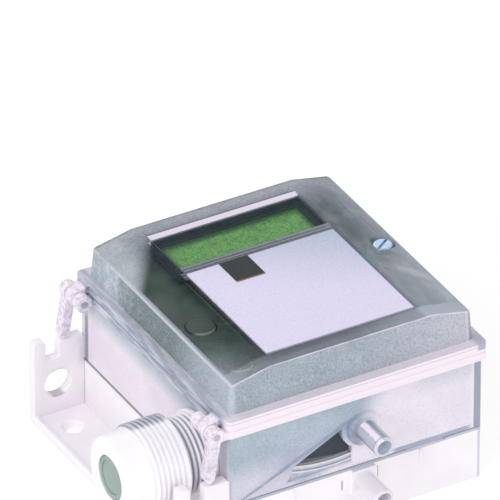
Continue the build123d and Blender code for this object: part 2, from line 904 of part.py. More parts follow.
# Label plate and the dark tag on it
with BuildPart() as label_plate:
    with BuildSketch(Plane.XY.offset(lid_top_z - label_recess)):
        with Locations((0, label_y)):
            Rectangle(label_width, label_length)
    extrude(amount=label_thickness)
finish(label_plate.part, "label_plate")

with BuildPart() as label_tag:
    with BuildSketch(Plane.XY.offset(lid_top_z - label_recess + label_thickness)):
        with Locations((tag_from_left - label_width / 2, label_y + label_length / 2)):
            Rectangle(tag_width, tag_length, align=(Align.MIN, Align.MAX))
    extrude(amount=tag_thickness)
finish(label_tag.part, "label_tag")

# Lid screw with a slotted head, its retaining ring and the bush it enters
with BuildPart() as lid_screw:
    with BuildSketch(Plane.XY.offset(screw_tip_z)):
        with Locations((screw_x, screw_y)):
            Circle(screw_shank_radius)
    extrude(amount=well_floor_z - screw_tip_z)
    chamfer(faces().sort_by(Axis.Z)[0].edges(), screw_point)
    with BuildSketch(Plane.XY.offset(well_floor_z)):
        with Locations((screw_x, screw_y)):
            Circle(screw_head_radius)
    extrude(amount=screw_head_height)
    fillet(faces().sort_by(Axis.Z)[-1].edges(), screw_head_round)
    with BuildSketch(Plane.XY.offset(well_floor_z + screw_head_height)):
        with Locations(Location((screw_x, screw_y), screw_turn)):
            Rectangle(2 * screw_head_radius, screw_slot_width)
    extrude(amount=-screw_slot_depth, mode=Mode.SUBTRACT)
finish(lid_screw.part, "lid_screw")

with BuildPart() as screw_ring:
    with BuildSketch(Plane.XY.offset(boss_end_z - part_gap - ring_height)):
        with Locations((screw_x, screw_y)):
            Circle(ring_radius)
            Circle(screw_shank_radius + fit_gap, mode=Mode.SUBTRACT)
    extrude(amount=ring_height)
finish(screw_ring.part, "screw_ring")

with BuildPart() as screw_bush:
    with BuildSketch(Plane.XY.offset(pillar_top - bush_length)):
        with Locations((screw_x, screw_y)):
            Circle(bush_radius - fit_gap)
            Circle(screw_shank_radius + part_gap, mode=Mode.SUBTRACT)
    extrude(amount=bush_length)
finish(screw_bush.part, "screw_bush")

# Screws that close the back
with BuildPart() as back_screws:
    with BuildSketch(Plane.XY.offset(back_screw_inset)):
        with GridLocations(2 * post_x, 2 * post_y, 2, 2):
            Circle(m2_head_radius)
    extrude(amount=back_sink_depth - back_screw_inset)
    with BuildSketch(Plane.XY.offset(back_sink_depth)):
        with GridLocations(2 * post_x, 2 * post_y, 2, 2):
            Circle(m2_radius)
    extrude(amount=back_height - tongue_height + pilot_depth - screw_end_gap - back_sink_depth)
finish(back_screws.part, "back_screws")


def turned(points):
    """Turns an (x, radius) outline about the gland's axis."""
    gland_plane = Plane(origin=(0, gland_y, gland_z), x_dir=(1, 0, 0), z_dir=(0, -1, 0))
    with BuildPart() as piece:
        with BuildSketch(gland_plane):
            with BuildLine():
                Polyline(*points, close=True)
            make_face()
        revolve(axis=Axis((0, gland_y, gland_z), (1, 0, 0)))
    return piece.part


# Cable gland, from the wall outwards
gland_inner_x = wall_left + case_wall
gland_face_x = wall_left - gland_flange
seat_x = gland_end_x + seal_depth
finish(
    turned(
        [
            (gland_inner_x, gland_bore_radius),
            (gland_inner_x, gland_shank_radius),
            (wall_left, gland_shank_radius),
            (wall_left, gland_flange_radius),
            (gland_face_x, gland_flange_radius),
            (gland_face_x, gland_thread_radius),
            (gland_end_x + gland_thread_start, gland_thread_radius),
            (gland_end_x, gland_thread_radius - gland_thread_start),
            (gland_end_x, seal_radius + fit_gap),
            (seat_x, seal_radius + fit_gap),
            (seat_x, gland_bore_radius),
        ]
    ),
    "gland_body",
)
finish(
    turned(
        [
            (nut_tip_x, nut_mouth_radius),
            (nut_tip_x, nut_nose_radius - nut_nose_round),
            (nut_tip_x + nut_nose_round, nut_nose_radius),
            (nut_shoulder_x - nut_nose_round, nut_nose_radius + nut_nose_draft),
            (nut_shoulder_x, nut_radius - nut_step),
            (nut_shoulder_x + nut_edge, nut_radius),
            (nut_root_x - nut_edge, nut_radius),
            (nut_root_x, nut_radius - nut_edge),
            (nut_root_x, gland_thread_radius + running_gap),
            (nut_floor_x, gland_thread_radius + running_gap),
            (nut_floor_x, nut_mouth_radius),
        ]
    ),
    "gland_nut",
)
ring_x = nut_floor_x + part_gap
shoulder_x = ring_x + clamp_ring
finish(
    turned(
        [
            (ring_x, nut_mouth_radius),
            (ring_x, gland_thread_radius - part_gap),
            (shoulder_x, gland_thread_radius - part_gap),
            (shoulder_x, nut_mouth_radius),
        ]
    ),
    "clamp_ring",
)
finish(
    turned(
        [
            (nut_tip_x + mouth_recess, cable_radius),
            (nut_tip_x + mouth_recess, nut_mouth_radius - part_gap),
            (shoulder_x, nut_mouth_radius - part_gap),
            (shoulder_x, gland_thread_radius - part_gap),
            (gland_end_x, gland_thread_radius - gland_thread_start - part_gap),
            (gland_end_x, seal_radius),
            (seat_x, seal_radius - seal_taper),
            (seat_x, cable_radius),
        ]
    ),
    "gland_seal",
)
finish(
    turned(
        [
            (nut_tip_x + disc_recess, 0),
            (nut_tip_x + disc_recess, cable_radius - fit_gap),
            (nut_tip_x + disc_recess + disc_thickness, cable_radius - fit_gap),
            (nut_tip_x + disc_recess + disc_thickness, 0),
        ]
    ),
    "dust_disc",
)


def nozzle(z, shoulder, name):
    """A pressure nozzle: a stub outside, a shoulder on its collar, a stem into the capsule's socket."""
    with BuildPart() as tube:
        with BuildSketch(front_plane(front_y - shoulder)):
            with Locations((port_x, z)):
                Circle(port_radius)
        extrude(amount=port_length - shoulder)
        fillet(faces().sort_by(Axis.Y)[0].edges(), port_tip_round)
        with BuildSketch(front_plane(nozzle_end_y)):
            with Locations((port_x, z)):
                Circle(port_stem_radius)
        extrude(amount=nozzle_end_y - front_y + shoulder)
        with Locations(front_plane(front_y - port_length)):
            with Locations((port_x, z)):
                Hole(port_bore_radius, depth=port_length - front_y + nozzle_end_y)
    finish(tube.part, name)


socket_end_y = capsule_y - sqrt(capsule_radius**2 - (port_x - capsule_x) ** 2) - socket_length
nozzle_end_y = socket_end_y + socket_depth
nozzle(port_upper_z, collar_length, "upper_nozzle")
nozzle(port_lower_z, lower_collar_length, "lower_nozzle")

# Seal rings round the nozzles, between the wall and the sockets
with BuildPart() as nozzle_seals:
    with BuildSketch(front_plane(socket_end_y)):
        with Locations((port_x, port_upper_z), (port_x, port_lower_z)):
            Circle(port_stem_radius + seal_ring_width)
            Circle(port_stem_radius + fit_gap, mode=Mode.SUBTRACT)
    extrude(amount=socket_end_y - front_y - case_wall - fit_gap)
finish(nozzle_seals.part, "nozzle_seals")


capsule_axis = Axis((capsule_x, capsule_y, 0), (0, 0, 1))
capsule_section = Plane(origin=(capsule_x, capsule_y, 0), x_dir=(1, 0, 0), z_dir=(0, -1, 0))


def capsule_sketch(points):
    """An (r, z) outline through the axis of the capsule."""
    with BuildSketch(capsule_section) as out:
        with BuildLine():
            Polyline(*points, close=True)
        make_face()
    return out.sketch


# Lower half of the capsule: cup, flange with a lip, and the socket of the lower nozzle
with BuildPart() as capsule_lower:
    revolve(
        capsule_sketch(
            [
                (0, capsule_foot_z),
                (capsule_radius, capsule_foot_z),
                (capsule_radius, capsule_split_z - lower_flange),
                (lower_flange_radius, capsule_split_z - lower_flange),
                (lower_flange_radius, capsule_split_z + flange_lip_height),
                (lower_flange_radius - flange_lip, capsule_split_z + flange_lip_height),
                (lower_flange_radius - flange_lip, capsule_split_z),
                (0, capsule_split_z),
            ]
        ),
        axis=capsule_axis,
    )
    with BuildSketch(front_plane(socket_end_y)):
        with Locations((port_x, port_lower_z)):
            Circle(socket_radius)
    extrude(amount=-socket_length - capsule_wall)
    with BuildSketch(Plane.XY.offset(capsule_foot_z + capsule_wall)):
        with Locations((capsule_x, capsule_y)):
            Circle(capsule_inner)
    extrude(amount=capsule_split_z, mode=Mode.SUBTRACT)
    with Locations(front_plane(socket_end_y)):
        with Locations((port_x, port_lower_z)):
            CounterBoreHole(
                port_bore_radius, port_stem_radius + fit_gap, socket_depth + fit_gap, 2 * socket_length
            )
    with Locations((capsule_x, capsule_y, capsule_split_z)):
        with PolarLocations(capsule_screw_ring_radius, capsule_screw_count):
            Hole(m2_radius + fit_gap, depth=lower_flange)
finish(capsule_lower.part, "capsule_lower")

# Upper half of the capsule, with its socket and the boss for the measuring beam
with BuildPart() as capsule_upper:
    revolve(
        capsule_sketch(
            [
                (0, upper_flange_z),
                (lower_flange_radius - flange_lip - seat_gap, upper_flange_z),
                (lower_flange_radius - flange_lip - seat_gap, upper_flange_z + upper_flange),
                (capsule_radius, upper_flange_z + upper_flange),
                (capsule_radius, capsule_top_z - capsule_bevel),
                (capsule_radius - capsule_bevel, capsule_top_z),
                (0, capsule_top_z),
            ]
        ),
        axis=capsule_axis,
    )
    with BuildSketch(front_plane(socket_end_y)):
        with Locations((port_x, port_upper_z)):
            Circle(socket_radius)
    extrude(amount=-socket_length - capsule_wall)
    with BuildSketch(Plane.XY.offset(upper_flange_z)):
        with Locations((capsule_x, capsule_y)):
            Circle(capsule_inner)
    extrude(amount=capsule_top_z - capsule_wall - upper_flange_z, mode=Mode.SUBTRACT)
    with BuildSketch(Plane.XY.offset(beam_seat_z + beam_thickness)):
        with Locations((beam_clamp_x, capsule_y)):
            Rectangle(beam_clamp_length, beam_width + 2 * beam_boss_margin)
    extrude(amount=capsule_top_z - capsule_wall / 2 - beam_seat_z - beam_thickness)
    with Locations(front_plane(socket_end_y)):
        with Locations((port_x, port_upper_z)):
            CounterBoreHole(
                port_bore_radius, port_stem_radius + fit_gap, socket_depth + fit_gap, 2 * socket_length
            )
    with Locations((capsule_x, capsule_y, upper_flange_z + upper_flange)):
        with PolarLocations(capsule_screw_ring_radius, capsule_screw_count):
            Hole(m2_radius + fit_gap, depth=upper_flange)
    with Locations(Plane.XY.offset(beam_seat_z + beam_thickness).rotated((180, 0, 0))):
        with Locations((beam_clamp_x, -capsule_y)):
            with GridLocations(beam_screw_spacing, 1, 2, 1):
                Hole(beam_screw_radius, depth=beam_hole_depth)
    with Locations((pin_x, capsule_y, capsule_top_z)):
        with GridLocations(1, pin_pitch, 1, pin_count):
            Hole(pin_radius + fit_gap, depth=capsule_wall)
finish(capsule_upper.part, "capsule_upper")

# Diaphragm with a rolled bead, its plate, and the tappet that presses the beam
with BuildPart() as diaphragm:
    with BuildSketch(capsule_section):
        with Locations((0, capsule_split_z)):
            Rectangle(
                lower_flange_radius - flange_lip - seat_gap,
                diaphragm_thickness,
                align=(Align.MIN, Align.MIN),
            )
        with Locations((bead_ring_radius, upper_flange_z)):
            Circle(bead_radius)
        with Locations((bead_ring_radius, capsule_split_z)):
            Circle(bead_radius - diaphragm_thickness / 2, mode=Mode.SUBTRACT)
            Rectangle(
                4 * bead_radius,
                2 * bead_radius,
                align=(Align.CENTER, Align.MAX),
                mode=Mode.SUBTRACT,
            )
    revolve(axis=capsule_axis)
    with Locations((capsule_x, capsule_y, upper_flange_z)):
        with PolarLocations(capsule_screw_ring_radius, capsule_screw_count):
            Hole(m2_radius + fit_gap, depth=diaphragm_thickness)
finish(diaphragm.part, "diaphragm")

with BuildPart() as diaphragm_plate:
    with BuildSketch(Plane.XY.offset(upper_flange_z)):
        with Locations((capsule_x, capsule_y)):
            Circle(plate_radius)
    extrude(amount=plate_thickness)
finish(diaphragm_plate.part, "diaphragm_plate")

with BuildPart() as tappet:
    with BuildSketch(Plane.XY.offset(upper_flange_z + plate_thickness)):
        with Locations((capsule_x, capsule_y)):
            Circle(tappet_foot_radius)
    extrude(amount=tappet_foot_height)
    with BuildSketch(Plane.XY.offset(upper_flange_z + plate_thickness)):
        with Locations((capsule_x, capsule_y)):
            Circle(tappet_radius)
    extrude(amount=tappet_length)
finish(tappet.part, "tappet")

# Measuring beam, its clamp and the clamp screws
with BuildPart() as beam:
    with BuildSketch(Plane.XY.offset(beam_seat_z)):
        with Locations((beam_end_x, capsule_y)):
            Rectangle(beam_length, beam_width, align=(Align.MAX, Align.CENTER))
    extrude(amount=beam_thickness)
    with Locations((beam_clamp_x, capsule_y, beam_seat_z + beam_thickness)):
        with GridLocations(beam_screw_spacing, 1, 2, 1):
            Hole(beam_screw_radius + fit_gap, depth=beam_thickness)
finish(beam.part, "measuring_beam")

with BuildPart() as beam_clamp:
    with BuildSketch(Plane.XY.offset(beam_seat_z - beam_clamp_height)):
        with Locations((beam_clamp_x, capsule_y)):
            Rectangle(beam_clamp_length, beam_width)
    extrude(amount=beam_clamp_height)
    with Locations((beam_clamp_x, capsule_y, beam_seat_z)):
        with GridLocations(beam_screw_spacing, 1, 2, 1):
            Hole(beam_screw_radius + fit_gap, depth=beam_clamp_height)
finish(beam_clamp.part, "beam_clamp")

with BuildPart() as beam_screws:
    with BuildSketch(Plane.XY.offset(beam_seat_z - beam_clamp_height - beam_head_height)):
        with Locations((beam_clamp_x, capsule_y)):
            with GridLocations(beam_screw_spacing, 1, 2, 1):
                Circle(beam_head_radius)
    extrude(amount=beam_head_height)
    with BuildSketch(Plane.XY.offset(beam_seat_z - beam_clamp_height)):
        with Locations((beam_clamp_x, capsule_y)):
            with GridLocations(beam_screw_spacing, 1, 2, 1):
                Circle(beam_screw_radius - fit_gap)
    extrude(amount=beam_clamp_height + beam_thickness + beam_screw_reach)
finish(beam_screws.part, "beam_screws")

with BuildPart() as capsule_screws:
    with BuildSketch(Plane.XY.offset(upper_flange_z + upper_flange)):
        with Locations((capsule_x, capsule_y)):
            with PolarLocations(capsule_screw_ring_radius, capsule_screw_count):
                Circle(m2_head_radius)
    extrude(amount=m2_head_height)
    with BuildSketch(Plane.XY.offset(capsule_split_z - lower_flange)):
        with Locations((capsule_x, capsule_y)):
            with PolarLocations(capsule_screw_ring_radius, capsule_screw_count):
                Circle(m2_radius)
    extrude(amount=upper_flange_z + upper_flange - capsule_split_z + lower_flange)
finish(capsule_screws.part, "capsule_screws")

# Pins that carry the beam's signal up through the roof of the capsule to the board
with BuildPart() as sensor_pins:
    with BuildSketch(Plane.XY.offset(capsule_top_z - capsule_wall - pin_reach)):
        with Locations((pin_x, capsule_y)):
            with GridLocations(1, pin_pitch, 1, pin_count):
                Circle(pin_radius)
    extrude(amount=board_top + pin_rise - capsule_top_z + capsule_wall + pin_reach)
finish(sensor_pins.part, "sensor_pins")

# Circuit board, notched for the wires on the left and for the screw pillar on the right
with BuildPart() as circuit_board:
    with BuildSketch(Plane.XY.offset(board_seat)):
        RectangleRounded(board_width, board_length, board_corner)
        with Locations((-board_width / 2, gland_y)):
            Rectangle(2 * board_notch, board_notch_length, mode=Mode.SUBTRACT)
        with Locations((screw_x - pillar_radius - board_inset, screw_y)):
            Rectangle(
                2 * case_width,
                2 * (pillar_radius + board_inset),
                align=(Align.MIN, Align.CENTER),
                mode=Mode.SUBTRACT,
            )
        with GridLocations(2 * post_x, 2 * post_y, 2, 2):
            Circle(m2_radius + fit_gap, mode=Mode.SUBTRACT)
        with GridLocations(2 * spacer_x, 2 * spacer_y, 2, 2):
            Circle(spacer_radius / 2, mode=Mode.SUBTRACT)
        with Locations((pin_x, capsule_y)):
            with GridLocations(1, pin_pitch, 1, pin_count):
                Circle(pin_radius + fit_gap, mode=Mode.SUBTRACT)
    extrude(amount=board_thickness)
finish(circuit_board.part, "circuit_board")

with BuildPart() as board_screws:
    with BuildSketch(Plane.XY.offset(board_top)):
        with GridLocations(2 * post_x, 2 * post_y, 2, 2):
            Circle(m2_head_radius)
    extrude(amount=m2_head_height)
    with BuildSketch(Plane.XY.offset(board_top)):
        with GridLocations(2 * post_x, 2 * post_y, 2, 2):
            Circle(m2_radius)
    extrude(amount=screw_end_gap - board_thickness - pilot_depth)
finish(board_screws.part, "board_screws")

# Parts soldered on the board: chips, capacitors and a coil
with BuildPart() as board_components:
    with BuildSketch(Plane.XY.offset(board_top)):
        with Locations(*on_board(chip_shares)):
            Rectangle(chip_size[0], chip_size[1])
    extrude(amount=chip_size[2])
    with BuildSketch(Plane.XY.offset(board_top)):
        with Locations(*on_board(capacitor_shares)):
            Circle(capacitor_radius)
    extrude(amount=capacitor_height)
    with BuildSketch(Plane.XY.offset(board_top)):
        with Locations(*on_board([coil_share])):
            RectangleRounded(coil_size, coil_size, coil_corner)
    extrude(amount=coil_height)
finish(board_components.part, "board_components")

# Terminal block, open to the left for the wires, with a well over each screw
with BuildPart() as terminal_block:
    with BuildSketch(Plane.XY.offset(board_top)):
        with Locations((terminal_x, terminal_y)):
            Rectangle(terminal_depth, terminal_count * terminal_pitch)
    extrude(amount=terminal_height)
    chamfer(faces().sort_by(Axis.Z)[-1].edges().sort_by(Axis.X)[0], terminal_bevel)
    with BuildSketch(Plane.XY.offset(board_top)):
        with Locations(*[(terminal_x, y) for y in terminal_y_places]):
            Rectangle(clamp_size + 2 * fit_gap, clamp_size + 2 * fit_gap)
    extrude(amount=clamp_height + fit_gap, mode=Mode.SUBTRACT)
    with BuildSketch(Plane.XY.offset(board_top)):
        with Locations(*[(terminal_x, y) for y in terminal_y_places]):
            Circle(terminal_well_radius)
    extrude(amount=terminal_height, mode=Mode.SUBTRACT)
    with Locations(left_plane(terminal_x - terminal_depth / 2)):
        with Locations(*[(-y, clamp_hole_z) for y in terminal_y_places]):
            Hole(wire_hole_radius, depth=terminal_depth / 2)
finish(terminal_block.part, "terminal_block")

with BuildPart() as terminal_clamps:
    with BuildSketch(Plane.XY.offset(board_top)):
        with Locations(*[(terminal_x, y) for y in terminal_y_places]):
            Rectangle(clamp_size, clamp_size)
    extrude(amount=clamp_height)
    with Locations(left_plane(terminal_x - clamp_size / 2)):
        with Locations(*[(-y, clamp_hole_z) for y in terminal_y_places]):
            Hole(wire_hole_radius, depth=clamp_size)
    with Locations(*[(terminal_x, y, board_top + clamp_height) for y in terminal_y_places]):
        Hole(terminal_stem_radius + running_gap, depth=clamp_height - wire_hole_rise)
finish(terminal_clamps.part, "terminal_clamps")

for number, place_y in enumerate(terminal_y_places, start=1):
    head_z = board_top + clamp_height + part_gap
    with BuildPart() as terminal_screw:
        with BuildSketch(Plane.XY.offset(head_z)):
            with Locations((terminal_x, place_y)):
                Circle(terminal_screw_radius - fit_gap)
        extrude(amount=terminal_screw_height)
        with BuildSketch(Plane.XY.offset(head_z)):
            with Locations((terminal_x, place_y)):
                Circle(terminal_stem_radius)
        extrude(amount=-part_gap - terminal_stem_reach)
        with BuildSketch(Plane.XY.offset(head_z + terminal_screw_height)):
            with Locations((terminal_x, place_y)):
                Rectangle(2 * terminal_screw_radius, terminal_slot_width)
        extrude(amount=-terminal_slot_depth, mode=Mode.SUBTRACT)
    finish(terminal_screw.part, f"terminal_screw_{number}")

# Pins for the range jumper, the jumper, and the header between the two boards
with BuildPart() as jumper_pins:
    with BuildSketch(Plane.XY.offset(board_top)):
        with Locations((jumper_x, jumper_y)):
            Rectangle(3 * pin_pitch, pin_pitch)
    extrude(amount=jumper_base)
    with BuildSketch(Plane.XY.offset(board_top)):
        with Locations((jumper_x, jumper_y)):
            with GridLocations(pin_pitch, 1, 3, 1):
                Rectangle(jumper_pin_size, jumper_pin_size)
    extrude(amount=jumper_pin_height)
finish(jumper_pins.part, "jumper_pins")

with BuildPart() as range_jumper:
    with BuildSketch(Plane.XY.offset(board_top + jumper_base)):
        with Locations((jumper_x - pin_pitch / 2, jumper_y)):
            Rectangle(2 * (pin_pitch - jumper_side_gap), pin_pitch - 2 * jumper_side_gap)
            with GridLocations(pin_pitch, 1, 2, 1):
                Rectangle(
                    jumper_pin_size + 2 * fit_gap,
                    jumper_pin_size + 2 * fit_gap,
                    mode=Mode.SUBTRACT,
                )
    extrude(amount=jumper_pin_height - jumper_base - jumper_drop)
finish(range_jumper.part, "range_jumper")

with BuildPart() as board_header:
    with BuildSketch(Plane.XY.offset(board_top)):
        with Locations((header_x, header_y)):
            Rectangle(header_width, header_depth)
    extrude(amount=spacer_length)
finish(board_header.part, "board_header")

# Spacers with a stud in the lower board, and the display board on them
with BuildPart() as display_spacers:
    with BuildSketch(Plane.XY.offset(board_top)):
        with GridLocations(2 * spacer_x, 2 * spacer_y, 2, 2):
            Circle(spacer_radius)
    extrude(amount=spacer_length)
    with BuildSketch(Plane.XY.offset(board_seat)):
        with GridLocations(2 * spacer_x, 2 * spacer_y, 2, 2):
            Circle(spacer_radius / 2 - fit_gap)
    extrude(amount=board_thickness)
    with Locations(Plane.XY.offset(display_seat)):
        with GridLocations(2 * spacer_x, 2 * spacer_y, 2, 2):
            Hole(m2_radius + fit_gap, depth=spacer_length / 2)
finish(display_spacers.part, "display_spacers")

with BuildPart() as display_board:
    with BuildSketch(Plane.XY.offset(display_seat)):
        RectangleRounded(display_board_width, display_board_length, display_board_corner)
        with Locations((screw_x, screw_y)):
            Circle(boss_radius + boss_clearance, mode=Mode.SUBTRACT)
            Rectangle(
                case_width,
                2 * (boss_radius + boss_clearance),
                align=(Align.MIN, Align.CENTER),
                mode=Mode.SUBTRACT,
            )
        with GridLocations(2 * spacer_x, 2 * spacer_y, 2, 2):
            Circle(m2_radius + fit_gap, mode=Mode.SUBTRACT)
    extrude(amount=display_board_thickness)
finish(display_board.part, "display_board")

with BuildPart() as display_screws:
    with BuildSketch(Plane.XY.offset(display_board_top)):
        with GridLocations(2 * spacer_x, 2 * spacer_y, 2, 2):
            Circle(m2_head_radius)
    extrude(amount=m2_head_height)
    with BuildSketch(Plane.XY.offset(display_board_top)):
        with GridLocations(2 * spacer_x, 2 * spacer_y, 2, 2):
            Circle(m2_radius)
    extrude(amount=screw_end_gap / 2 - display_board_thickness - spacer_length / 2)
finish(display_screws.part, "display_screws")

# Display: a dark frame, the light guide in it and the glass on top
glass_top_z = display_top_z - glass_recess
with BuildPart() as display_frame:
    with BuildSketch(Plane.XY.offset(display_board_top)):
        with Locations((0, window_y)):
            RectangleRounded(window_width, window_length, display_corner)
    extrude(amount=display_top_z - display_board_top)
    with BuildSketch(Plane.XY.offset(display_top_z)):
        with Locations((0, window_y)):
            Rectangle(glass_width + 2 * fit_gap, glass_length + 2 * fit_gap)
    extrude(amount=-glass_recess - 2 * glass_thickness, mode=Mode.SUBTRACT)
finish(display_frame.part, "display_frame")

with BuildPart() as light_guide:
    with BuildSketch(Plane.XY.offset(glass_top_z - 2 * glass_thickness)):
        with Locations((0, window_y)):
            Rectangle(glass_width, glass_length)
    extrude(amount=glass_thickness)
finish(light_guide.part, "light_guide")

with BuildPart() as display_glass:
    with BuildSketch(Plane.XY.offset(glass_top_z - glass_thickness)):
        with Locations((0, window_y)):
            Rectangle(glass_width, glass_length)
    extrude(amount=glass_thickness)
finish(display_glass.part, "display_glass")

# Front panel, a shallow cover with openings for the display and the keys
with BuildPart() as front_panel:
    with BuildSketch(Plane.XY.offset(display_board_top)):
        RectangleRounded(panel_width, panel_length, display_board_corner)
    extrude(amount=panel_top_z - display_board_top)
    fillet(faces().sort_by(Axis.Z)[-1].edges(), panel_round)
    with BuildSketch(Plane.XY.offset(display_board_top)):
        RectangleRounded(
            panel_width - 2 * panel_skirt, panel_length - 2 * panel_skirt, panel_inner_corner
        )
    extrude(amount=panel_top_z - panel_wall - display_board_top, mode=Mode.SUBTRACT)
    with BuildSketch(Plane.XY.offset(display_board_top)):
        with Locations((0, window_y)):
            Rectangle(window_width + 2 * part_gap, window_length + 2 * part_gap)
        with Locations(*[(key_x, y) for y in key_y]):
            Circle(key_radius + part_gap)
        with Locations((screw_x, screw_y)):
            Circle(boss_radius + boss_clearance)
            Rectangle(
                case_width,
                2 * (boss_radius + boss_clearance),
                align=(Align.MIN, Align.CENTER),
            )
    extrude(amount=panel_top_z - display_board_top, mode=Mode.SUBTRACT)
finish(front_panel.part, "front_panel")

# Key switches on the display board, and the two key caps
with BuildPart() as key_switches:
    with BuildSketch(Plane.XY.offset(display_board_top)):
        with Locations(*[(key_x, y) for y in key_y]):
            Rectangle(switch_size, switch_size)
    extrude(amount=switch_height)
    with BuildSketch(Plane.XY.offset(switch_top)):
        with Locations(*[(key_x, y) for y in key_y]):
            Circle(key_stem_radius + running_gap)
    extrude(amount=-key_travel - key_stem_reach - key_stem_floor, mode=Mode.SUBTRACT)
finish(key_switches.part, "key_switches")

for place_y, key_name in zip(key_y, ("zero_key", "range_key")):
    with BuildPart() as key:
        with BuildSketch(Plane.XY.offset(key_top_z - key_cap_height)):
            with Locations((key_x, place_y)):
                Circle(key_radius)
        extrude(amount=key_cap_height)
        fillet(faces().sort_by(Axis.Z)[-1].edges(), key_round)
        with BuildSketch(Plane.XY.offset(switch_top - key_stem_reach)):
            with Locations((key_x, place_y)):
                Circle(key_stem_radius)
        extrude(amount=key_top_z - key_cap_height - switch_top + key_stem_reach)
    finish(key.part, key_name)
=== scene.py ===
import math

import bpy
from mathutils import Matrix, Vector


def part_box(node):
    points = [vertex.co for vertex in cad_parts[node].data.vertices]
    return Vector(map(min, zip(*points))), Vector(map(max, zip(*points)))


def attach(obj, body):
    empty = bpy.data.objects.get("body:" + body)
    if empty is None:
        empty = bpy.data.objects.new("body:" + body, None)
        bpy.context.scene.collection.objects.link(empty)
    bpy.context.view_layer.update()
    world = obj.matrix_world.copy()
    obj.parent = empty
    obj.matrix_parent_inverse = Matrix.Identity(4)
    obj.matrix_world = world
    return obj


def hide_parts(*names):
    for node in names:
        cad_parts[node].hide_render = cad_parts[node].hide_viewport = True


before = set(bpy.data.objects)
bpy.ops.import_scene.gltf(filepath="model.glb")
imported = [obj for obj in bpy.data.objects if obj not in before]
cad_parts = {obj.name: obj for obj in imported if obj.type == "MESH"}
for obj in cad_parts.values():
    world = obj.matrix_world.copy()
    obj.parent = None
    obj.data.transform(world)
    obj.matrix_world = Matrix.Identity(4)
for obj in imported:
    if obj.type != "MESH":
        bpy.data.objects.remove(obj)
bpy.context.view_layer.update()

bl_info = {
    "name": "Differential Pressure Transmitter",
    "version": (1, 0, 0),
    "blender": (4, 5, 0),
    "location": "3D View > Sidebar > Transmitter",
    "description": "Finishes, thread rings and display of a wall-mounted pressure transmitter",
    "category": "Object",
}

MM = 0.001


def corners(node):
    """The low and the high corner of a node's box, in millimetres."""
    return [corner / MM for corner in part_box(node)]


# Places and sizes taken from the frame, in millimetres
LABEL_LOW, LABEL_HIGH = corners("label_plate")
WINDOW_LOW, WINDOW_HIGH = corners("window_frame")
DISPLAY_LOW, DISPLAY_HIGH = corners("display_glass")
SHELL_LOW, SHELL_HIGH = corners("back_shell")
BODY_HIGH = corners("case_body")[1]
LID_HIGH = corners("lid")[1]
NUT_LOW, NUT_HIGH = corners("gland_nut")
GLAND_LOW, GLAND_HIGH = corners("gland_body")
GLAND_AXIS = (NUT_LOW + NUT_HIGH) / 2
TUBE_LOW, TUBE_HIGH = corners("upper_nozzle")
TUBE_AXIS = (TUBE_LOW + TUBE_HIGH) / 2
WALL_LEFT, WALL_RIGHT = SHELL_LOW.x, SHELL_HIGH.x
SEAM = SHELL_HIGH.z

# The case: its front wall, its rim, the sides of its hinge arms, the end plates' holes and the tube
WALL_FRONT = -SHELL_HIGH.y
BODY_RIM = BODY_HIGH.z - 4.1
ARM_SIDE = WALL_LEFT - 1.6
HOLE_X = corners("side_bay")[0].x + 7.4
HOLE_Z = 12.0
HOLE_RADIUS = 4.4
TUBE_RADIUS = TUBE_HIGH.x - TUBE_AXIS.x - 0.25
TUBE_BORE = TUBE_RADIUS - 0.52

# The lid: half its width and depth at the crown's edge, the levels of crown, edge and rim, half the
# width of the crown's flat middle and how far it falls with each millimetre beyond
LID_SIDE = LID_HIGH.x - 3.7
LID_END = LID_HIGH.y - 4.1
LID_TOP = LABEL_HIGH.z
LID_EDGE = LID_TOP - 2.7
LID_RIM = LID_EDGE - 8.8
LID_FLAT = WINDOW_HIGH.x + 2.1
LID_FALL = 0.225

# The gland's radii and lengths along its axis
NUT_RADIUS = NUT_HIGH.z - GLAND_AXIS.z
NOSE_RADIUS = NUT_RADIUS - 1.4
NOSE_LENGTH = 7.6
MOUTH_RADIUS = 6.5
LIP_DEPTH = 2.2
FLANGE_RADIUS = GLAND_HIGH.z - GLAND_AXIS.z
THREAD_RADIUS = FLANGE_RADIUS - 0.8
NUT_BORE = THREAD_RADIUS + 0.08
THREAD_FLANK = 0.28
RUN_OUT = 1.0
RIDGE_FLANK = 0.12
SHANK_RADIUS = 7.7
FLANGE_FACE = WALL_LEFT - 1.6
CHAMFER = 0.3
GLAND_BORE = 6.3
SEAL_RADIUS = 8.75
SEAL_DEPTH = 6.0

# How meshes are welded, in millimetres, and flattened, rounded, smoothed and turned
WELD = 0.002
LATHE_WELD = 0.0001
LATHE_SIDES = 128
FLAT_ANGLE = math.radians(0.6)
EDGE_ANGLE = math.radians(38)
SMOOTH_ANGLE = math.radians(32)

# The floor's side and the lamps' aim in metres, the floor's level in millimetres and the sky's light
FLOOR_SIDE = 8
FLOOR_LEVEL = -0.05
LAMP_AIM = Vector((0, 0, 0.03))
SKY_LIGHT = 0.57

# The photograph's view: its side in pixels, its scale, how far off it is in metres, its angles, and how
# far its middle lies right of the lid's middle and above it in millimetres
PHOTO_SIDE = 500
PIXELS_PER_METRE = 3670
VIEW_DISTANCE = 3.0
VIEW_AZIMUTH = math.radians(-29.4)
VIEW_ELEVATION = math.radians(33.3)
VIEW_RIGHT = -8.34
VIEW_UP = 8.07


def colour(red, green, blue):
    """A colour as it shows on screen, 0 to 255, in the linear values that shaders use."""
    return tuple(((c / 255 + 0.055) / 1.055) ** 2.4 if c > 10 else c / 3294.6 for c in (red, green, blue))


def tint(name, description, red, green, blue):
    """A colour setting of the panel."""
    return bpy.props.FloatVectorProperty(
        name=name, description=description, default=colour(red, green, blue),
        subtype="COLOR", min=0, max=1,
    )


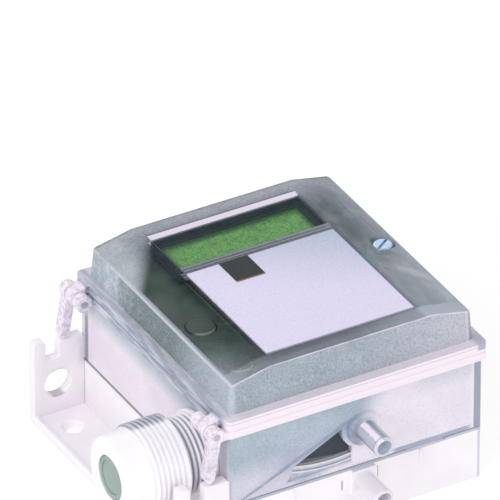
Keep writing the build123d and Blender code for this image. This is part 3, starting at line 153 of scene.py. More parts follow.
def length(name, description, millimetres):
    """A length setting of the panel, in millimetres."""
    return bpy.props.FloatProperty(name=name + " (mm)", description=description, default=millimetres, min=0)


class TransmitterSizes(bpy.types.PropertyGroup):
    edge_round: length("Edge rounding", "Width of the rounding on the case's edges", 0.35)
    thread_pitch: length("Thread pitch", "Distance between the gland's thread rings", 1.5)
    thread_depth: length("Thread depth", "Depth of the gland's thread", 0.7)
    ridge_pitch: length("Ridge pitch", "Distance between the fine rings on the nut", 1.45)
    ridge_depth: length("Ridge depth", "Depth of the fine rings on the nut", 0.35)
    grain: length("Grain", "Size of the matt texture on the clear plastic", 0.55)


class TransmitterColours(bpy.types.PropertyGroup):
    frost: tint("Frosted plastic", "Clear plastic with a matt texture", 168, 178, 190)
    shade: tint("Shaded plastic", "The lid's left skirt", 116, 129, 132)
    wall: tint("Case wall", "The upper walls on the left of the front", 174, 189, 204)
    # Painted light, gathered pinkish on the lid's front skirt
    gathered_light: tint("Lit plastic", "Where light gathers in the clear plastic", 240, 230, 244)
    # Painted shade along the seam, on the back shell's upper edge at its right
    lilac: tint("Lilac shade", "The upper edge of the back shell on its right", 164, 172, 194)
    milky: tint("Back shell", "Whitish plastic of the back shell", 254, 249, 254)
    # Painted light: the edges and rims of the clear plastic, bright where light leaves them
    edge: tint("Edges", "Bright edges of the clear plastic", 250, 238, 249)
    white: tint("White plastic", "Moulded nylon of the gland", 254, 251, 255)
    thread: tint("Thread grooves", "The shaded grooves of the gland's thread", 122, 127, 148)
    panel: tint("Front panel", "Dark panel under the lid", 38, 56, 50)
    label: tint("Label", "Printed film on the lid", 228, 221, 248)
    # Painted reflection: the label turns bluish grey towards its far right corner
    label_far_reflection: tint("Label, far side", "The label's colour at its far right corner", 172, 188, 208)
    tag: tint("Tag", "Dark field on the label", 20, 30, 31)
    display: tint("Display", "Lit green of the display", 108, 170, 90)
    # Painted shade of the frame over the display's edges
    display_dim: tint("Display, dim", "The display's green towards its edges", 44, 76, 58)
    seal: tint("Seal", "Rubber of the gland's seal", 158, 176, 170)


class Wire:
    """A value in a node tree. Sums, products and quotients of wires add Math nodes."""

    def __init__(self, net, socket):
        self.net = net
        self.socket = socket

    def math(self, operation, first, second=0):
        return self.net.node("ShaderNodeMath", {"operation": operation}, {0: first, 1: second})

    def __add__(self, other):
        return self.math("ADD", self, other)

    def __sub__(self, other):
        return self.math("SUBTRACT", self, other)

    def __rsub__(self, other):
        return self.math("SUBTRACT", other, self)

    def __mul__(self, other):
        return self.math("MULTIPLY", self, other)

    def __truediv__(self, other):
        return self.math("DIVIDE", self, other)

    def __rtruediv__(self, other):
        return self.math("DIVIDE", other, self)

    def __abs__(self):
        return self.math("ABSOLUTE", self)

    __radd__ = __add__
    __rmul__ = __mul__

    def root(self):
        return self.math("SQRT", self)

    def least(self, other):
        return self.math("MINIMUM", self, other)

    def most(self, other):
        return self.math("MAXIMUM", self, other)

    def rise(self, low, high):
        """0 below low, 1 above high and a smooth step between them."""
        return self.net.node(
            "ShaderNodeMapRange",
            {"interpolation_type": "SMOOTHSTEP"},
            {"Value": self, "From Min": low, "From Max": high},
        )

    def fall(self, low, high):
        """1 below low, 0 above high and a smooth step between them."""
        return 1 - self.rise(low, high)

    def within(self, low, high, soft):
        """1 between low and high, 0 outside, with soft edges of that width."""
        return self.rise(low - soft, low) * self.fall(high, high + soft)


class Net:
    """A node tree that is being put together."""

    def __init__(self, tree):
        self.tree = tree
        self.tree.nodes.clear()

    def node(self, kind, settings=None, values=None, output=0):
        """Adds a node, sets it, fills its sockets with numbers or wires and returns one output."""
        made = self.tree.nodes.new(kind)
        for setting, value in (settings or {}).items():
            setattr(made, setting, value)
        for key, value in (values or {}).items():
            socket = made.inputs[key]
            if isinstance(value, Wire):
                self.tree.links.new(value.socket, socket)
            elif socket.type == "RGBA":
                socket.default_value = (*value[:3], 1)
            else:
                socket.default_value = value
        return Wire(self, made.outputs[output] if made.outputs else None)


class Finish(Net):
    """A material that is being put together; its places and depths are in millimetres."""

    def __init__(self, name):
        self.material = bpy.data.materials.new(name)
        self.material.use_nodes = True
        super().__init__(self.material.node_tree)
        metres = self.node("ShaderNodeTexCoord", output="Object")
        self.place = self.node("ShaderNodeVectorMath", {"operation": "SCALE"}, {0: metres, "Scale": 1 / MM})

    def axes(self):
        """The place on the piece, as three wires."""
        split = self.node("ShaderNodeSeparateXYZ", None, {0: self.place}).socket.node
        return [Wire(self, out) for out in split.outputs]

    def noise(self, size, detail=2.0, stretch=(1, 1, 1)):
        """Soft cloudy noise from 0 to 1, with spots of about that size."""
        place = self.node("ShaderNodeMapping", None, {"Vector": self.place, "Scale": stretch})
        return self.node("ShaderNodeTexNoise", None, {"Vector": place, "Scale": 1 / size, "Detail": detail})

    def blend(self, factor, first, second):
        """A colour between two others."""
        return self.node("ShaderNodeMix", {"data_type": "RGBA"}, {0: factor, 6: first, 7: second}, output=2)

    def coats(self, base, *layers):
        """A base colour with coats over it in turn, each a mask and a colour."""
        for mask, coat in layers:
            base = self.blend(mask, base, coat)
        return base

    def bump(self, height, depth, strength=0.5):
        """A normal that follows a height of 0 to 1 over that depth."""
        values = {"Height": height, "Strength": strength, "Distance": depth * MM}
        return self.node("ShaderNodeBump", None, values)

    def shaded(self, **values):
        """The finished material, with a Principled shader whose sockets have underscores for spaces."""
        named = {key.replace("_", " "): value for key, value in values.items()}
        return self.done(self.node("ShaderNodeBsdfPrincipled", None, named))

    def done(self, surface):
        """Sends the surface to the output and returns the material."""
        self.node("ShaderNodeOutputMaterial", None, {"Surface": surface})
        return self.material


def ring_distance(first, second, centre_first, centre_second):
    """The distance from a centre in the plane of two axes."""
    across, along = first - centre_first, second - centre_second
    return (across * across + along * along).root()


def grainy(finish, base, grain, dark):
    """A base colour with the fine light and dark specks of a matt texture."""
    fine = finish.noise(grain, 4.0)
    return finish.coats(
        base,
        (fine.rise(0.48, 0.72) * 0.32, colour(222, 228, 236)),
        (fine.fall(0.3, 0.5) * dark, colour(118, 128, 142)),
    )


def arm_shade(finish, tints):
    """The clear plastic of the hinge arms: near white with blue-grey patches."""
    patches = finish.noise(1.1, 5.0).rise(0.4, 0.7)
    return finish.blend(patches * 0.7, tints.edge, colour(188, 192, 214))


def rim_streaks(finish, dim, bright):
    """Streaks along the left rim, where light runs through the plastic."""
    streaks = finish.noise(1.2, 5.0, (1, 0.16, 1)).rise(0.35, 0.65)
    return finish.blend(streaks, dim, bright)


class LidFinish(Finish):
    """Clear plastic of the lid: see-through beside the label, matt on its slopes and walls."""

    def __init__(self, tints, grain):
        super().__init__("frosted_lid")
        self.tints = tints
        self.grain = grain
        self.x, self.y, self.z = self.axes()
        self.clouds = self.noise(7, 3.0).rise(0.3, 0.7)
        within_walls = abs(self.x).fall(LID_SIDE - 2.1, LID_SIDE - 1.6)
        within_walls = within_walls * abs(self.y).fall(LID_END - 2.3, LID_END - 1.8)
        top = self.z.rise(LID_EDGE - 0.05, LID_EDGE + 0.25).most(within_walls)
        self.on_top = top * self.y.rise(-LID_END - 0.04, -LID_END + 0.06)
        self.skirt = 1 - self.on_top

    def beside_label(self):
        """1 where the dark panel shows, up to a line that runs to the window's far corner."""
        reach = self.x + LID_SIDE + 0.8 - (self.y - LABEL_HIGH.y - 0.65).most(0) * 0.6
        reach = reach * (1 - self.y.rise(8, 26) * 0.45)
        return reach.rise(-2.3, 2.4) * self.y.fall(WINDOW_HIGH.y - 2.1, WINDOW_HIGH.y + 3.9)

    def top_density(self, clear):
        """How dense the top is: thinnest left of the label, cloudy on its right and in front."""
        x, y = self.x, self.y
        front = y.fall(LABEL_LOW.y - 4, LABEL_LOW.y + 17) * (1 - x.rise(-36.5, -29) * 0.8)
        beside = 0.005 + front * 0.38 + self.clouds * 0.03
        wisps = self.noise(3, 3.0, (1, 0.35, 1)).rise(0.4, 0.7)
        beyond = 0.17 + wisps * 0.16 + x.rise(28, 36) * 0.22
        beyond = beyond + y.fall(-26, 8) * 0.38 + y.rise(22, 34) * 0.16
        strip = y.fall(LABEL_LOW.y - 1.5, LABEL_LOW.y) * (0.24 + x.rise(-5, 30) * 0.36)
        seen = beside + (beyond - beside) * x.rise(LABEL_HIGH.x - 0.95, LABEL_HIGH.x + 2.05) + strip
        return seen + (0.66 + self.clouds * 0.12 - seen) * (1 - clear)

    def shades(self):
        """Painted light and shade on the skirt and slopes: dim on the left, lighter to the back, lit
        pinkish at the right.
        """
        x, y = self.x, self.y
        left = x.fall(-LID_SIDE - 0.2, -LID_SIDE + 0.2) * self.skirt
        patches = self.noise(2.5, 4.0).rise(0.4, 0.62) * y.rise(8, 26)
        bright = (patches * 0.5).most(y.within(25, 30, 3) * (0.4 + patches * 0.5))
        # In turn: painted shade on the left skirt's middle, painted light on its front, its far end and the
        # left slope's far half, the painted light on the front skirt, then the top's far border and its far
        # edge, both darker
        return self.coats(
            self.blend(self.clouds * 0.4, self.tints.frost, colour(184, 194, 206)),
            (left * y.within(-6, 14, 18) * 0.95, self.tints.shade),
            (left * y.fall(-38, -22) * 0.5, colour(196, 206, 218)),
            (left * bright, colour(206, 215, 229)),
            (x.fall(-34, -27) * y.within(4, 35, 6) * self.on_top * 0.7, colour(204, 211, 217)),
            (x.rise(0, 36) * y.fall(-LID_END + 0.7, -LID_END + 1.7) * self.skirt * 0.4, self.tints.gathered_light),
            (x.rise(-34, -25) * y.rise(30, 34) * self.on_top * 0.6, colour(148, 150, 164)),
            (y.rise(LID_END - 1.2, LID_END - 0.4) * self.on_top * 0.75, colour(112, 114, 128)),
        )

    def marks(self):
        """Lines and glints: each a mask, a colour, how much it covers and how dense it is."""
        x, y, z, on_top, skirt = self.x, self.y, self.z, self.on_top, self.skirt
        # A bar with two bright lines parts the label from the window; a brow and a bevel lie beyond it
        bar = y.within(LABEL_HIGH.y, WINDOW_LOW.y - 0.1, 0.1) * on_top
        bar = bar * abs(x).fall(WINDOW_HIGH.x - 0.05, WINDOW_HIGH.x + 0.15)
        bar_lines = y.within(WINDOW_LOW.y - 0.9, WINDOW_LOW.y - 0.5, 0.15)
        bar_lines = bar_lines.most(y.within(LABEL_HIGH.y + 1.25, LABEL_HIGH.y + 1.65, 0.15)) * bar
        inset = (abs(x) - WINDOW_HIGH.x - 0.6).most(abs(y) + LABEL_LOW.y - 0.9)
        inset = inset.within(-0.14, 0.14, 0.12) * y.fall(10, 13) * on_top * 0.25
        brow = y.within(WINDOW_HIGH.y + 2.05, WINDOW_HIGH.y + 2.4, 0.15) * on_top
        brow = brow * abs(x).fall(WINDOW_HIGH.x + 0.05, WINDOW_HIGH.x + 0.35)
        glint = x.within(WINDOW_HIGH.x + 0.45, WINDOW_HIGH.x + 1.65, 0.8) * y.within(-9, -4, 3) * on_top
        sheen = (y + x * 0.9).within(12.5, 14, 3) * x.within(28, 34, 4) * on_top
        # Painted highlights along the top's left edge and down the skirt's front left corner
        left_line = x.fall(-LID_SIDE + 0.05, -LID_SIDE + 0.25) * (1 - y.rise(20, 34) * 0.8)
        left_line = left_line * z.within(LID_EDGE - 0.45, LID_EDGE + 0.2, 0.15)
        corner = x.fall(-LID_SIDE + 0.2, -LID_SIDE + 1.4) * y.fall(-LID_END + 0.5, -LID_END + 1.7)
        corner = corner * skirt * 0.44
        end_line = x.within(LID_SIDE - 1.2, LID_SIDE - 0.7, 0.2) * skirt
        end_line = end_line * y.fall(-LID_END + 0.7, -LID_END + 1.2)
        end_band = x.rise(LID_SIDE - 0.5, LID_SIDE - 0.1) * skirt
        end_band = end_band * y.fall(-LID_END + 0.3, -LID_END + 0.6)
        # A painted highlight along the top's front edge
        crown = (z - LID_TOP + (abs(x) - LID_FLAT).most(0) * LID_FALL).rise(-0.4, -0.25)
        front_line = y.fall(-LID_END + 0.08, -LID_END + 0.2) * crown * (0.6 + self.clouds * 0.4)
        bevel = y.within(WINDOW_HIGH.y + 0.45, WINDOW_HIGH.y + 1.95, 0.15) * on_top
        bevel = bevel * abs(x).fall(WINDOW_HIGH.x, WINDOW_HIGH.x + 0.3)
        return (
            (bar, colour(112, 122, 132), 0.8, 0.5),
            (inset.most(bar_lines), colour(200, 208, 216), 0.7, 0.5),
            (brow, colour(116, 106, 108), 0.75, 0.6),
            (glint, colour(112, 190, 172), 0.6, 0.4),
            (sheen, colour(222, 218, 230), 0.6, 0.4),
            (left_line.most(corner), colour(214, 222, 232), 0.8, 0.6),
            (end_line, colour(232, 222, 240), 0.5, 0.5),
            (end_band, colour(138, 150, 172), 0.6, 0.6),
            (front_line.most(bevel), colour(232, 224, 240), 1.0, 1.0),
        )

    def rim_shades(self, base, rim):
        """The rim in painted light, pinkish white in front, darker at its right end and streaked lilac on
        the left, with a painted shadow line under it on the left; the hinge arms are patchy.
        """
        x, y, z = self.x, self.y, self.z
        side = x.fall(-LID_SIDE - 1.8, -LID_SIDE + 0.3) * y.rise(WALL_FRONT + 0.5, WALL_FRONT + 4)
        right = x.rise(LID_SIDE, LID_SIDE + 1.2) * y.fall(-LID_END - 0.3, -LID_END + 2.7)
        right = right * z.rise(LID_RIM - 2.2, LID_RIM - 1.6)
        line = z.within(LID_RIM - 1, LID_RIM - 0.8, 0.15) * y.fall(WALL_FRONT + 1, WALL_FRONT + 2)
        streaks = rim_streaks(self, colour(136, 149, 170), colour(196, 204, 218))
        return self.coats(
            base,
            (rim, self.tints.edge),
            (rim * right * 0.7, colour(140, 152, 178)),
            (line * 0.5, colour(196, 190, 208)),
            (rim * side * 0.9, streaks),
            # A painted shadow line under the rim on the left
            (z.fall(LID_RIM - 2.75, LID_RIM - 2.6) * side * 0.7, colour(98, 108, 128)),
            (x.fall(ARM_SIDE - 0.4, ARM_SIDE) * self.skirt, arm_shade(self, self.tints)),
        )

    def made(self):
        """The material: shades and grain, lines and glints over them, and then the rim."""
        beside_label = self.beside_label()
        clear = beside_label * self.on_top
        opacity = self.top_density(beside_label) * self.on_top + self.skirt * 0.9
        plain = self.shades()
        base = self.blend(clear * 0.85, grainy(self, plain, self.grain, 0.42), plain)
        for mask, coat, cover, density in self.marks():
            base = self.blend(mask * cover, base, coat)
            opacity = opacity.most(mask * density)
        rim = self.z.fall(LID_RIM - 0.1, LID_RIM + 0.15)
        return self.shaded(
            Base_Color=self.rim_shades(base, rim),
            Roughness=0.36 - clear * 0.2,
            Alpha=opacity.most(rim * 0.97).least(1),
            IOR=1.26,
            Normal=self.bump(self.noise(self.grain, 3.0) * (1 - clear * 0.96), 0.03),
        )


def front_wall_light(finish, tints, clouds):
    """Painted light and shade on the front: blue-grey on the left, pinkish where light gathers, dimmer near
    the rim on the right.
    """
    x, y, z = finish.axes()
    lit = (x + 10 - (z - 20) * 0.85).rise(-5, 7).most(y.rise(-20, 30) * 0.8)
    dim = z.rise(31, 38) * x.rise(6, 30) * 0.4
    return finish.coats(
        finish.blend(clouds * 0.35, tints.wall, colour(192, 203, 214)),
        (x.fall(-25, -12) * z.fall(20, 31) * 0.75, colour(232, 224, 238)),
        (x.within(-22, -12, 7) * z.within(24, 30, 5) * 0.5, colour(184, 186, 212)),
        (lit * (1 - dim) * 0.95, colour(248, 239, 251)),
    )


def left_wall_light(finish):
    """Painted light on the left wall: pinkish, with painted shade below the rim that makes it bluer and
    darker towards the rim.
    """
    _, y, z = finish.axes()
    shade_below_rim = (z.rise(31, 38) * 0.9).most(z.rise(21, 33) * y.fall(-30, -8) * 0.6)
    return finish.blend(shade_below_rim, colour(247, 236, 248), colour(186, 199, 209))


def frosted_wall(tints, grain):
    """Clear plastic of the upper walls and their rim."""
    finish = Finish("frosted_wall")
    x, y, z = finish.axes()
    clouds = finish.noise(9, 3.0).rise(0.3, 0.7)
    left = x.fall(WALL_LEFT + 0.1, WALL_LEFT + 0.7)
    base = finish.coats(
        front_wall_light(finish, tints, clouds),
        (left, left_wall_light(finish)),
        (left * y.within(37.4, 38.7, 0.5) * z.fall(31, 35) * 0.85, colour(120, 134, 152)),
    )
    front = y.fall(WALL_FRONT + 0.4, WALL_FRONT + 0.8)
    # The brace and the collar are the pieces that stand proud of the front wall
    proud = y.fall(WALL_FRONT - 0.3, WALL_FRONT - 0.1) * z.fall(BODY_RIM - 0.3, BODY_RIM)
    wander = finish.noise(1.5, 3.0).rise(0.35, 0.65) * 0.25
    rim = z.rise(BODY_RIM - 0.15, BODY_RIM)
    left_rim = rim * x.within(ARM_SIDE, WALL_LEFT + 0.5, 0.6)
    left_rim = left_rim * abs(y).fall(-WALL_FRONT - 3, -WALL_FRONT - 2)
    # In turn: the front's right end, darker, and a painted highlight line beside it, painted shade along
    # the seam at the foot of the left wall and of the front, the brace and the collar, the rim in painted
    # light, its left side and the hinge arms
    base = finish.coats(
        grainy(finish, base, grain, 0.16),
        (x.rise(WALL_RIGHT - 3.1, WALL_RIGHT - 2.8) * front * 0.9, colour(150, 158, 182)),
        (x.within(WALL_RIGHT - 3.7, WALL_RIGHT - 3.3, 0.15) * front * 0.6, colour(252, 240, 250)),
        (z.fall(SEAM + 0.5, SEAM + 0.9) * left * 0.9, colour(98, 108, 124)),
        (z.fall(SEAM + 1.1, SEAM + 1.5) * x.within(13, 34, 3) * front * 0.8, colour(150, 164, 190)),
        (proud * x.fall(-1.5, 2.5) * (0.7 + wander), colour(148, 160, 182)),
        (rim, tints.edge),
        (left_rim * 0.9, rim_streaks(finish, colour(142, 155, 176), colour(206, 211, 224))),
        (x.fall(ARM_SIDE - 0.4, ARM_SIDE), arm_shade(finish, tints)),
    )
    return finish.shaded(
        Base_Color=base,
        Roughness=0.36,
        Alpha=(0.9 + clouds * 0.06).most(rim * 0.98),
        IOR=1.3,
        Normal=finish.bump(finish.noise(grain, 3.0), 0.03),
    )


def milky_shell(tints, grain):
    """Whitish plastic of the back shell and the side bay, faintly clouded."""
    finish = Finish("milky_shell")
    x, y, z = finish.axes()
    clouds = finish.noise(11).rise(0.3, 0.75)
    front = y.fall(WALL_FRONT + 0.2, WALL_FRONT + 0.5)
    top_edge = z.within(SEAM - 1.1, SEAM + 0.2, 0.3) * x.rise(-38, -36)
    hole = ring_distance(x, z, HOLE_X, HOLE_Z)
    arcs = hole.fall(HOLE_RADIUS + 0.05, HOLE_RADIUS + 0.3) * abs(z - HOLE_Z).rise(3.7, 4.3)
    dark_strokes = x.within(-4.7, -4.4, 0.2) * z.within(10.2, 13, 0.4)
    dark_strokes = dark_strokes.most(x.within(6.2, 6.6, 0.2) * z.within(11, 14.4, 0.4))
    dark_strokes = dark_strokes * y.fall(WALL_FRONT + 0.1, WALL_FRONT + 0.2)
    # In turn: the front's right end, painted shade along the seam at the upper edge, painted shade round
    # the end plates' holes and two short dark strokes low on the front
    base = finish.coats(
        finish.blend(clouds * 0.25, tints.milky, colour(247, 241, 250)),
        (x.rise(WALL_RIGHT - 1.9, WALL_RIGHT - 1.4) * front * 0.9, colour(214, 212, 234)),
        (top_edge * 0.7, finish.blend(x.rise(6, 14), colour(136, 150, 174), tints.lilac)),
        (arcs * 0.5, colour(92, 90, 108)),
        (dark_strokes * 0.7, colour(112, 124, 136)),
    )
    return finish.shaded(
        Base_Color=base,
        Roughness=0.36 + clouds * 0.1,
        Alpha=0.97 - clouds * 0.03,
        IOR=1.35,
        Normal=finish.bump(finish.noise(grain, 3.0), 0.02, 0.4),
    )


def bright_edge(tints):
    """The rounded edges of the clear plastic, where light leaves it."""
    finish = Finish("bright_edge")
    wander = finish.noise(5).rise(0.35, 0.7)
    base = finish.blend(wander, tints.edge, colour(228, 228, 241))
    return finish.shaded(Base_Color=base, Roughness=0.3, Alpha=0.95, IOR=1.35)


def bay_edge():
    """The side bay's rounded edges: near white, with a dark line of painted shade round the holes of the
    end plates.
    """
    finish = Finish("bay_edge")
    x, _, z = finish.axes()
    wander = finish.noise(5).rise(0.35, 0.7)
    hole = ring_distance(x, z, HOLE_X, HOLE_Z)
    arcs = hole.fall(HOLE_RADIUS + 0.4, HOLE_RADIUS + 0.55) * (0.15 + abs(z - HOLE_Z).rise(2.4, 4) * 0.6)
    base = finish.coats(
        finish.blend(wander, colour(226, 218, 234), colour(248, 242, 250)),
        (arcs, colour(92, 90, 108)),
    )
    return finish.shaded(Base_Color=base, Roughness=0.3, Alpha=0.96, IOR=1.35)


def tube_clear():
    """The clear pressure tube: bluish walls, a pink strip of light along it and a glassy tip."""
    finish = Finish("tube_clear")
    x, y, z = finish.axes()
    aside, above = x - TUBE_AXIS.x, z - TUBE_AXIS.z
    across = (aside * 0.8 + above * 0.6) / TUBE_RADIUS
    toward = (above * 0.8 - aside * 0.6) / TUBE_RADIUS
    wander = finish.noise(1.2, 3.0).rise(0.3, 0.7)
    strip = (across + (wander - 0.5) * 0.12).within(-0.05, 0.4, 0.1) * toward.rise(0, 0.3)
    tip_colour = finish.blend(wander, colour(222, 232, 243), colour(248, 251, 255))
    bore = ring_distance(x, z, TUBE_AXIS.x, TUBE_AXIS.z).fall(TUBE_BORE - 0.04, TUBE_BORE + 0.04)
    # In turn: the strip of light, a grey strip above it, the dim underside, the tip, the bore and a grey
    # ring behind the tip
    base = finish.coats(
        finish.blend(wander * 0.6, colour(204, 211, 226), colour(228, 229, 241)),
        (strip * 0.95, colour(255, 236, 252)),
        (across.within(0.6, 0.86, 0.06) * toward.rise(-0.1, 0.1) * 0.8, colour(140, 164, 177)),
        (across.fall(-0.98, -0.82) * 0.7, colour(140, 152, 174)),
        (y.fall(TUBE_LOW.y + 0.5, TUBE_LOW.y + 0.7) * 0.9, tip_colour),
        (bore, colour(226, 236, 248)),
        (y.within(TUBE_LOW.y + 0.7, TUBE_LOW.y + 1.1, 0.15) * 0.5, colour(134, 147, 168)),
    )
    return finish.shaded(Base_Color=base, Roughness=0.14, Alpha=(0.68 + strip * 0.3).least(1), IOR=1.35)


def sight_clear():
    """The sight glass: clear above, frosted below a curved line that follows the ring behind it."""
    finish = Finish("sight_clear")
    x, _, z = finish.axes()
    bow = x + 7.5
    above = z - (20.9 + bow * bow * 0.0115)
    frosted = above.fall(-0.25, 0.1)
    wander = finish.noise(1.4, 3.0).rise(0.35, 0.65)
    frost = finish.coats(
        finish.blend(wander * 0.5, colour(190, 196, 214), colour(222, 220, 234)),
        (above.within(-0.7, -0.1, 0.2) * 0.7, colour(246, 238, 238)),
        (above.within(-1.75, -1.45, 0.12) * 0.8, colour(128, 138, 158)),
        (above.within(-2.3, -1.95, 0.12) * 0.8, colour(244, 238, 248)),
    )
    pane = finish.blend(x.rise(-20, -13), colour(150, 128, 118), colour(150, 162, 176))
    return finish.shaded(
        Base_Color=finish.blend(frosted, pane, frost),
        Roughness=0.12 + frosted * 0.25,
        Alpha=0.12 + frosted * 0.82,
        IOR=1.25,
    )


def nozzle_milky():
    """Polished whitish plastic, darker and denser where it is seen edge on."""
    finish = Finish("nozzle_milky")
    grazing = finish.node("ShaderNodeLayerWeight", None, {"Blend": 0.35}, output=1).rise(0.25, 0.95)
    base = finish.coats(
        finish.blend(finish.noise(6) * 0.3, colour(252, 247, 253), colour(236, 236, 246)),
        (grazing * 0.8, colour(226, 222, 236)),
    )
    return finish.shaded(Base_Color=base, Roughness=0.2, Alpha=(0.8 + grazing * 0.2).least(1), IOR=1.4)


def window_clear():
    """A flat clear pane with a trace of haze."""
    finish = Finish("window_clear")
    veil = 0.04 + finish.noise(5) * 0.024
    return finish.shaded(Base_Color=colour(120, 140, 140), Roughness=0.1, Alpha=veil, IOR=1.25)


def moulded(name, base, other, roughness, grain, depth=0.012, ior=1.4):
    """A moulded or painted surface with faint clouds and a fine grain."""
    finish = Finish(name)
    clouds = finish.noise(6).rise(0.3, 0.7)
    return finish.shaded(
        Base_Color=finish.blend(clouds * 0.6, base, other),
        Roughness=roughness + clouds * 0.08,
        IOR=ior,
        Normal=finish.bump(finish.noise(grain, 3.0), depth),
    )


def gland_white(name, tints, grain, crest, depth, darkness, shadow, lee=0.0):
    """White nylon of the gland, shaded in its grooves and, by lee, on its upper back."""
    finish = Finish(name)
    x, y, z = finish.axes()
    radius = ring_distance(y, z, GLAND_AXIS.y, GLAND_AXIS.z)
    groove = radius.fall(crest - depth, crest - depth * 0.25)
    groove = groove * radius.rise(crest - depth * 2, crest - depth * 1.6)
    clouds = finish.noise(8).rise(0.3, 0.7)
    turned = ((y - GLAND_AXIS.y) * 0.6 + (z - GLAND_AXIS.z) * 0.8) / crest
    behind = turned.rise(0.74, 0.9) * x.rise(NUT_LOW.x + 6.2, NUT_LOW.x + 8.2) * lee
    groove_colour = finish.blend(behind, shadow, colour(96, 108, 130))
    streaks = finish.noise(1.2, 4.0, (1, 0.3, 0.3)).rise(0.35, 0.65)
    base = finish.coats(
        finish.blend(clouds * 0.3, tints.white, colour(243, 238, 249)),
        (groove * (darkness + behind).least(1), groove_colour),
        (behind * (0.5 + streaks * 0.4), colour(138, 150, 172)),
    )
    return finish.shaded(
        Base_Color=base,
        Roughness=0.3 + clouds * 0.08,
        Normal=finish.bump(finish.noise(grain, 3.0), 0.012),
    )


def metal(name, base, roughness):
    """Turned or plated metal with fine tool marks."""
    finish = Finish(name)
    marks = finish.noise(0.25)
    return finish.shaded(
        Base_Color=finish.blend(finish.noise(3) * 0.3, base, colour(120, 125, 132)),
        Metallic=1.0,
        Roughness=roughness + marks * 0.12,
        Normal=finish.bump(marks, 0.006),
    )


def board_green():
    """Green solder mask with straight copper tracks under it."""
    finish = Finish("board_green")
    bricks = {"Scale": 1 / 6, "Mortar Size": 0.03, "Brick Width": 1.4, "Row Height": 0.5}
    settings = {"offset": 0.5, "squash": 1.0}
    tracks = finish.node("ShaderNodeTexBrick", settings, {"Vector": finish.place, **bricks}, output=1)
    base = finish.blend(tracks * 0.6, colour(22, 92, 52), colour(60, 132, 76))
    return finish.shaded(Base_Color=base, Roughness=0.35, Coat_Weight=0.4)


def label_film(tints):
    """Printed film of the label, with a painted reflection that turns it bluer towards its far right
    corner, and a fine weave.
    """
    finish = Finish("label_film")
    x, y, _ = finish.axes()
    far = ((x - LABEL_LOW.x) * 0.4 + (y - LABEL_LOW.y) * 0.6) / (LABEL_HIGH.x - LABEL_LOW.x)
    weave = finish.noise(0.6, 4.0)
    border = x.rise(LABEL_HIGH.x - 0.35, LABEL_HIGH.x - 0.2)
    border = border.most(y.fall(LABEL_LOW.y + 0.15, LABEL_LOW.y + 0.3))
    base = finish.coats(
        finish.blend(far.rise(0.45, 1.05), tints.label, tints.label_far_reflection),
        (weave.rise(0.5, 0.66) * 0.4, colour(196, 206, 242)),
        (weave.fall(0.34, 0.5) * 0.4, colour(248, 226, 238)),
        (border * 0.4, colour(120, 128, 150)),
    )
    return finish.shaded(Base_Color=base, Roughness=0.45, IOR=1.35, Normal=finish.bump(weave, 0.006, 0.4))


def tag_film(tints, grain):
    """Black printed field with a thin ochre line along its lower edge."""
    finish = Finish("tag_film")
    _, y, _ = finish.axes()
    foot = corners("label_tag")[0].y
    base = finish.coats(
        finish.blend(finish.noise(grain, 3.0).rise(0.35, 0.7) * 0.5, tints.tag, colour(44, 56, 60)),
        (y.fall(foot + 0.3, foot + 0.5) * 0.7, colour(150, 112, 70)),
    )
    return finish.shaded(Base_Color=base, Roughness=0.45, IOR=1.3)


def key_plastic(node, tints, shine):
    """A push key in the panel's dark colour, with a painted highlight, a bright crescent, on its near edge.
    """
    finish = Finish(node + "_plastic")
    x, y, _ = finish.axes()
    low, high = corners(node)
    centre, radius = (low + high) / 2, (high.x - low.x) / 2
    reach = ring_distance(x, y, centre.x, centre.y) / radius
    crescent = reach.rise(0.9, 0.95) * y.fall(low.y + 0.8, low.y + 2.6)
    base = finish.coats(
        finish.blend(finish.noise(2) * 0.5, tints.panel, colour(58, 78, 68)),
        (crescent * shine, colour(214, 220, 206)),
    )
    return finish.shaded(Base_Color=base, Roughness=0.5, IOR=1.3)


def display_green(tints):
    """The reflective green of the display, blotched, with darker blotches towards its far edge, and fading
    in painted shade of the frame into the dark towards its sides.
    """
    finish = Finish("display_green")
    x, y, _ = finish.axes()
    fine = finish.noise(0.7, 4.0)
    clouds = finish.noise(2.6, 3.0)
    far_blotches = finish.noise(5).rise(0.45, 0.7) * y.rise(DISPLAY_HIGH.y - 8, DISPLAY_HIGH.y - 4)
    wander = (finish.noise(2, 3.0) - 0.5) * 1.6
    top = (DISPLAY_HIGH.y - y + wander).rise(0.2, 3.4)
    sides = (DISPLAY_HIGH.x - abs(x) + wander).rise(0, 2.4)
    foot = (y - DISPLAY_LOW.y + wander).rise(-0.4, 1.2)
    base = finish.coats(
        finish.blend(clouds.rise(0.4, 0.65) * 0.6, tints.display, colour(84, 140, 74)),
        (fine.rise(0.48, 0.7) * 0.45, colour(152, 200, 132)),
        (fine.fall(0.3, 0.5) * 0.5, colour(62, 106, 66)),
        (far_blotches * 0.35, colour(76, 112, 78)),
        # Painted shade of the frame over the green's top, sides and foot
        ((1 - top * sides * foot) * 0.85, tints.display_dim),
    )
    return finish.shaded(Base_Color=base, Roughness=0.4, IOR=1.2)


def paint(material, *names):
    """Gives the CAD pieces with these names this one material."""
    for name in names:
        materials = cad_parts[name].data.materials
        materials.clear()
        materials.append(material)


def pick_only(piece):
    """Selects one piece and nothing else."""
    bpy.ops.object.select_all(action="DESELECT")
    piece.select_set(True)
    bpy.context.view_layer.objects.active = piece


def settle(piece, name, body, replaced):
    """Names a finished piece and lets it ride on its body in the place of a CAD piece."""
    pick_only(piece)
    bpy.ops.object.transform_apply(location=True, rotation=True, scale=True)
    bpy.ops.object.shade_smooth_by_angle(angle=SMOOTH_ANGLE)
    piece.name = name
    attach(piece, body)
    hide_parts(replaced)


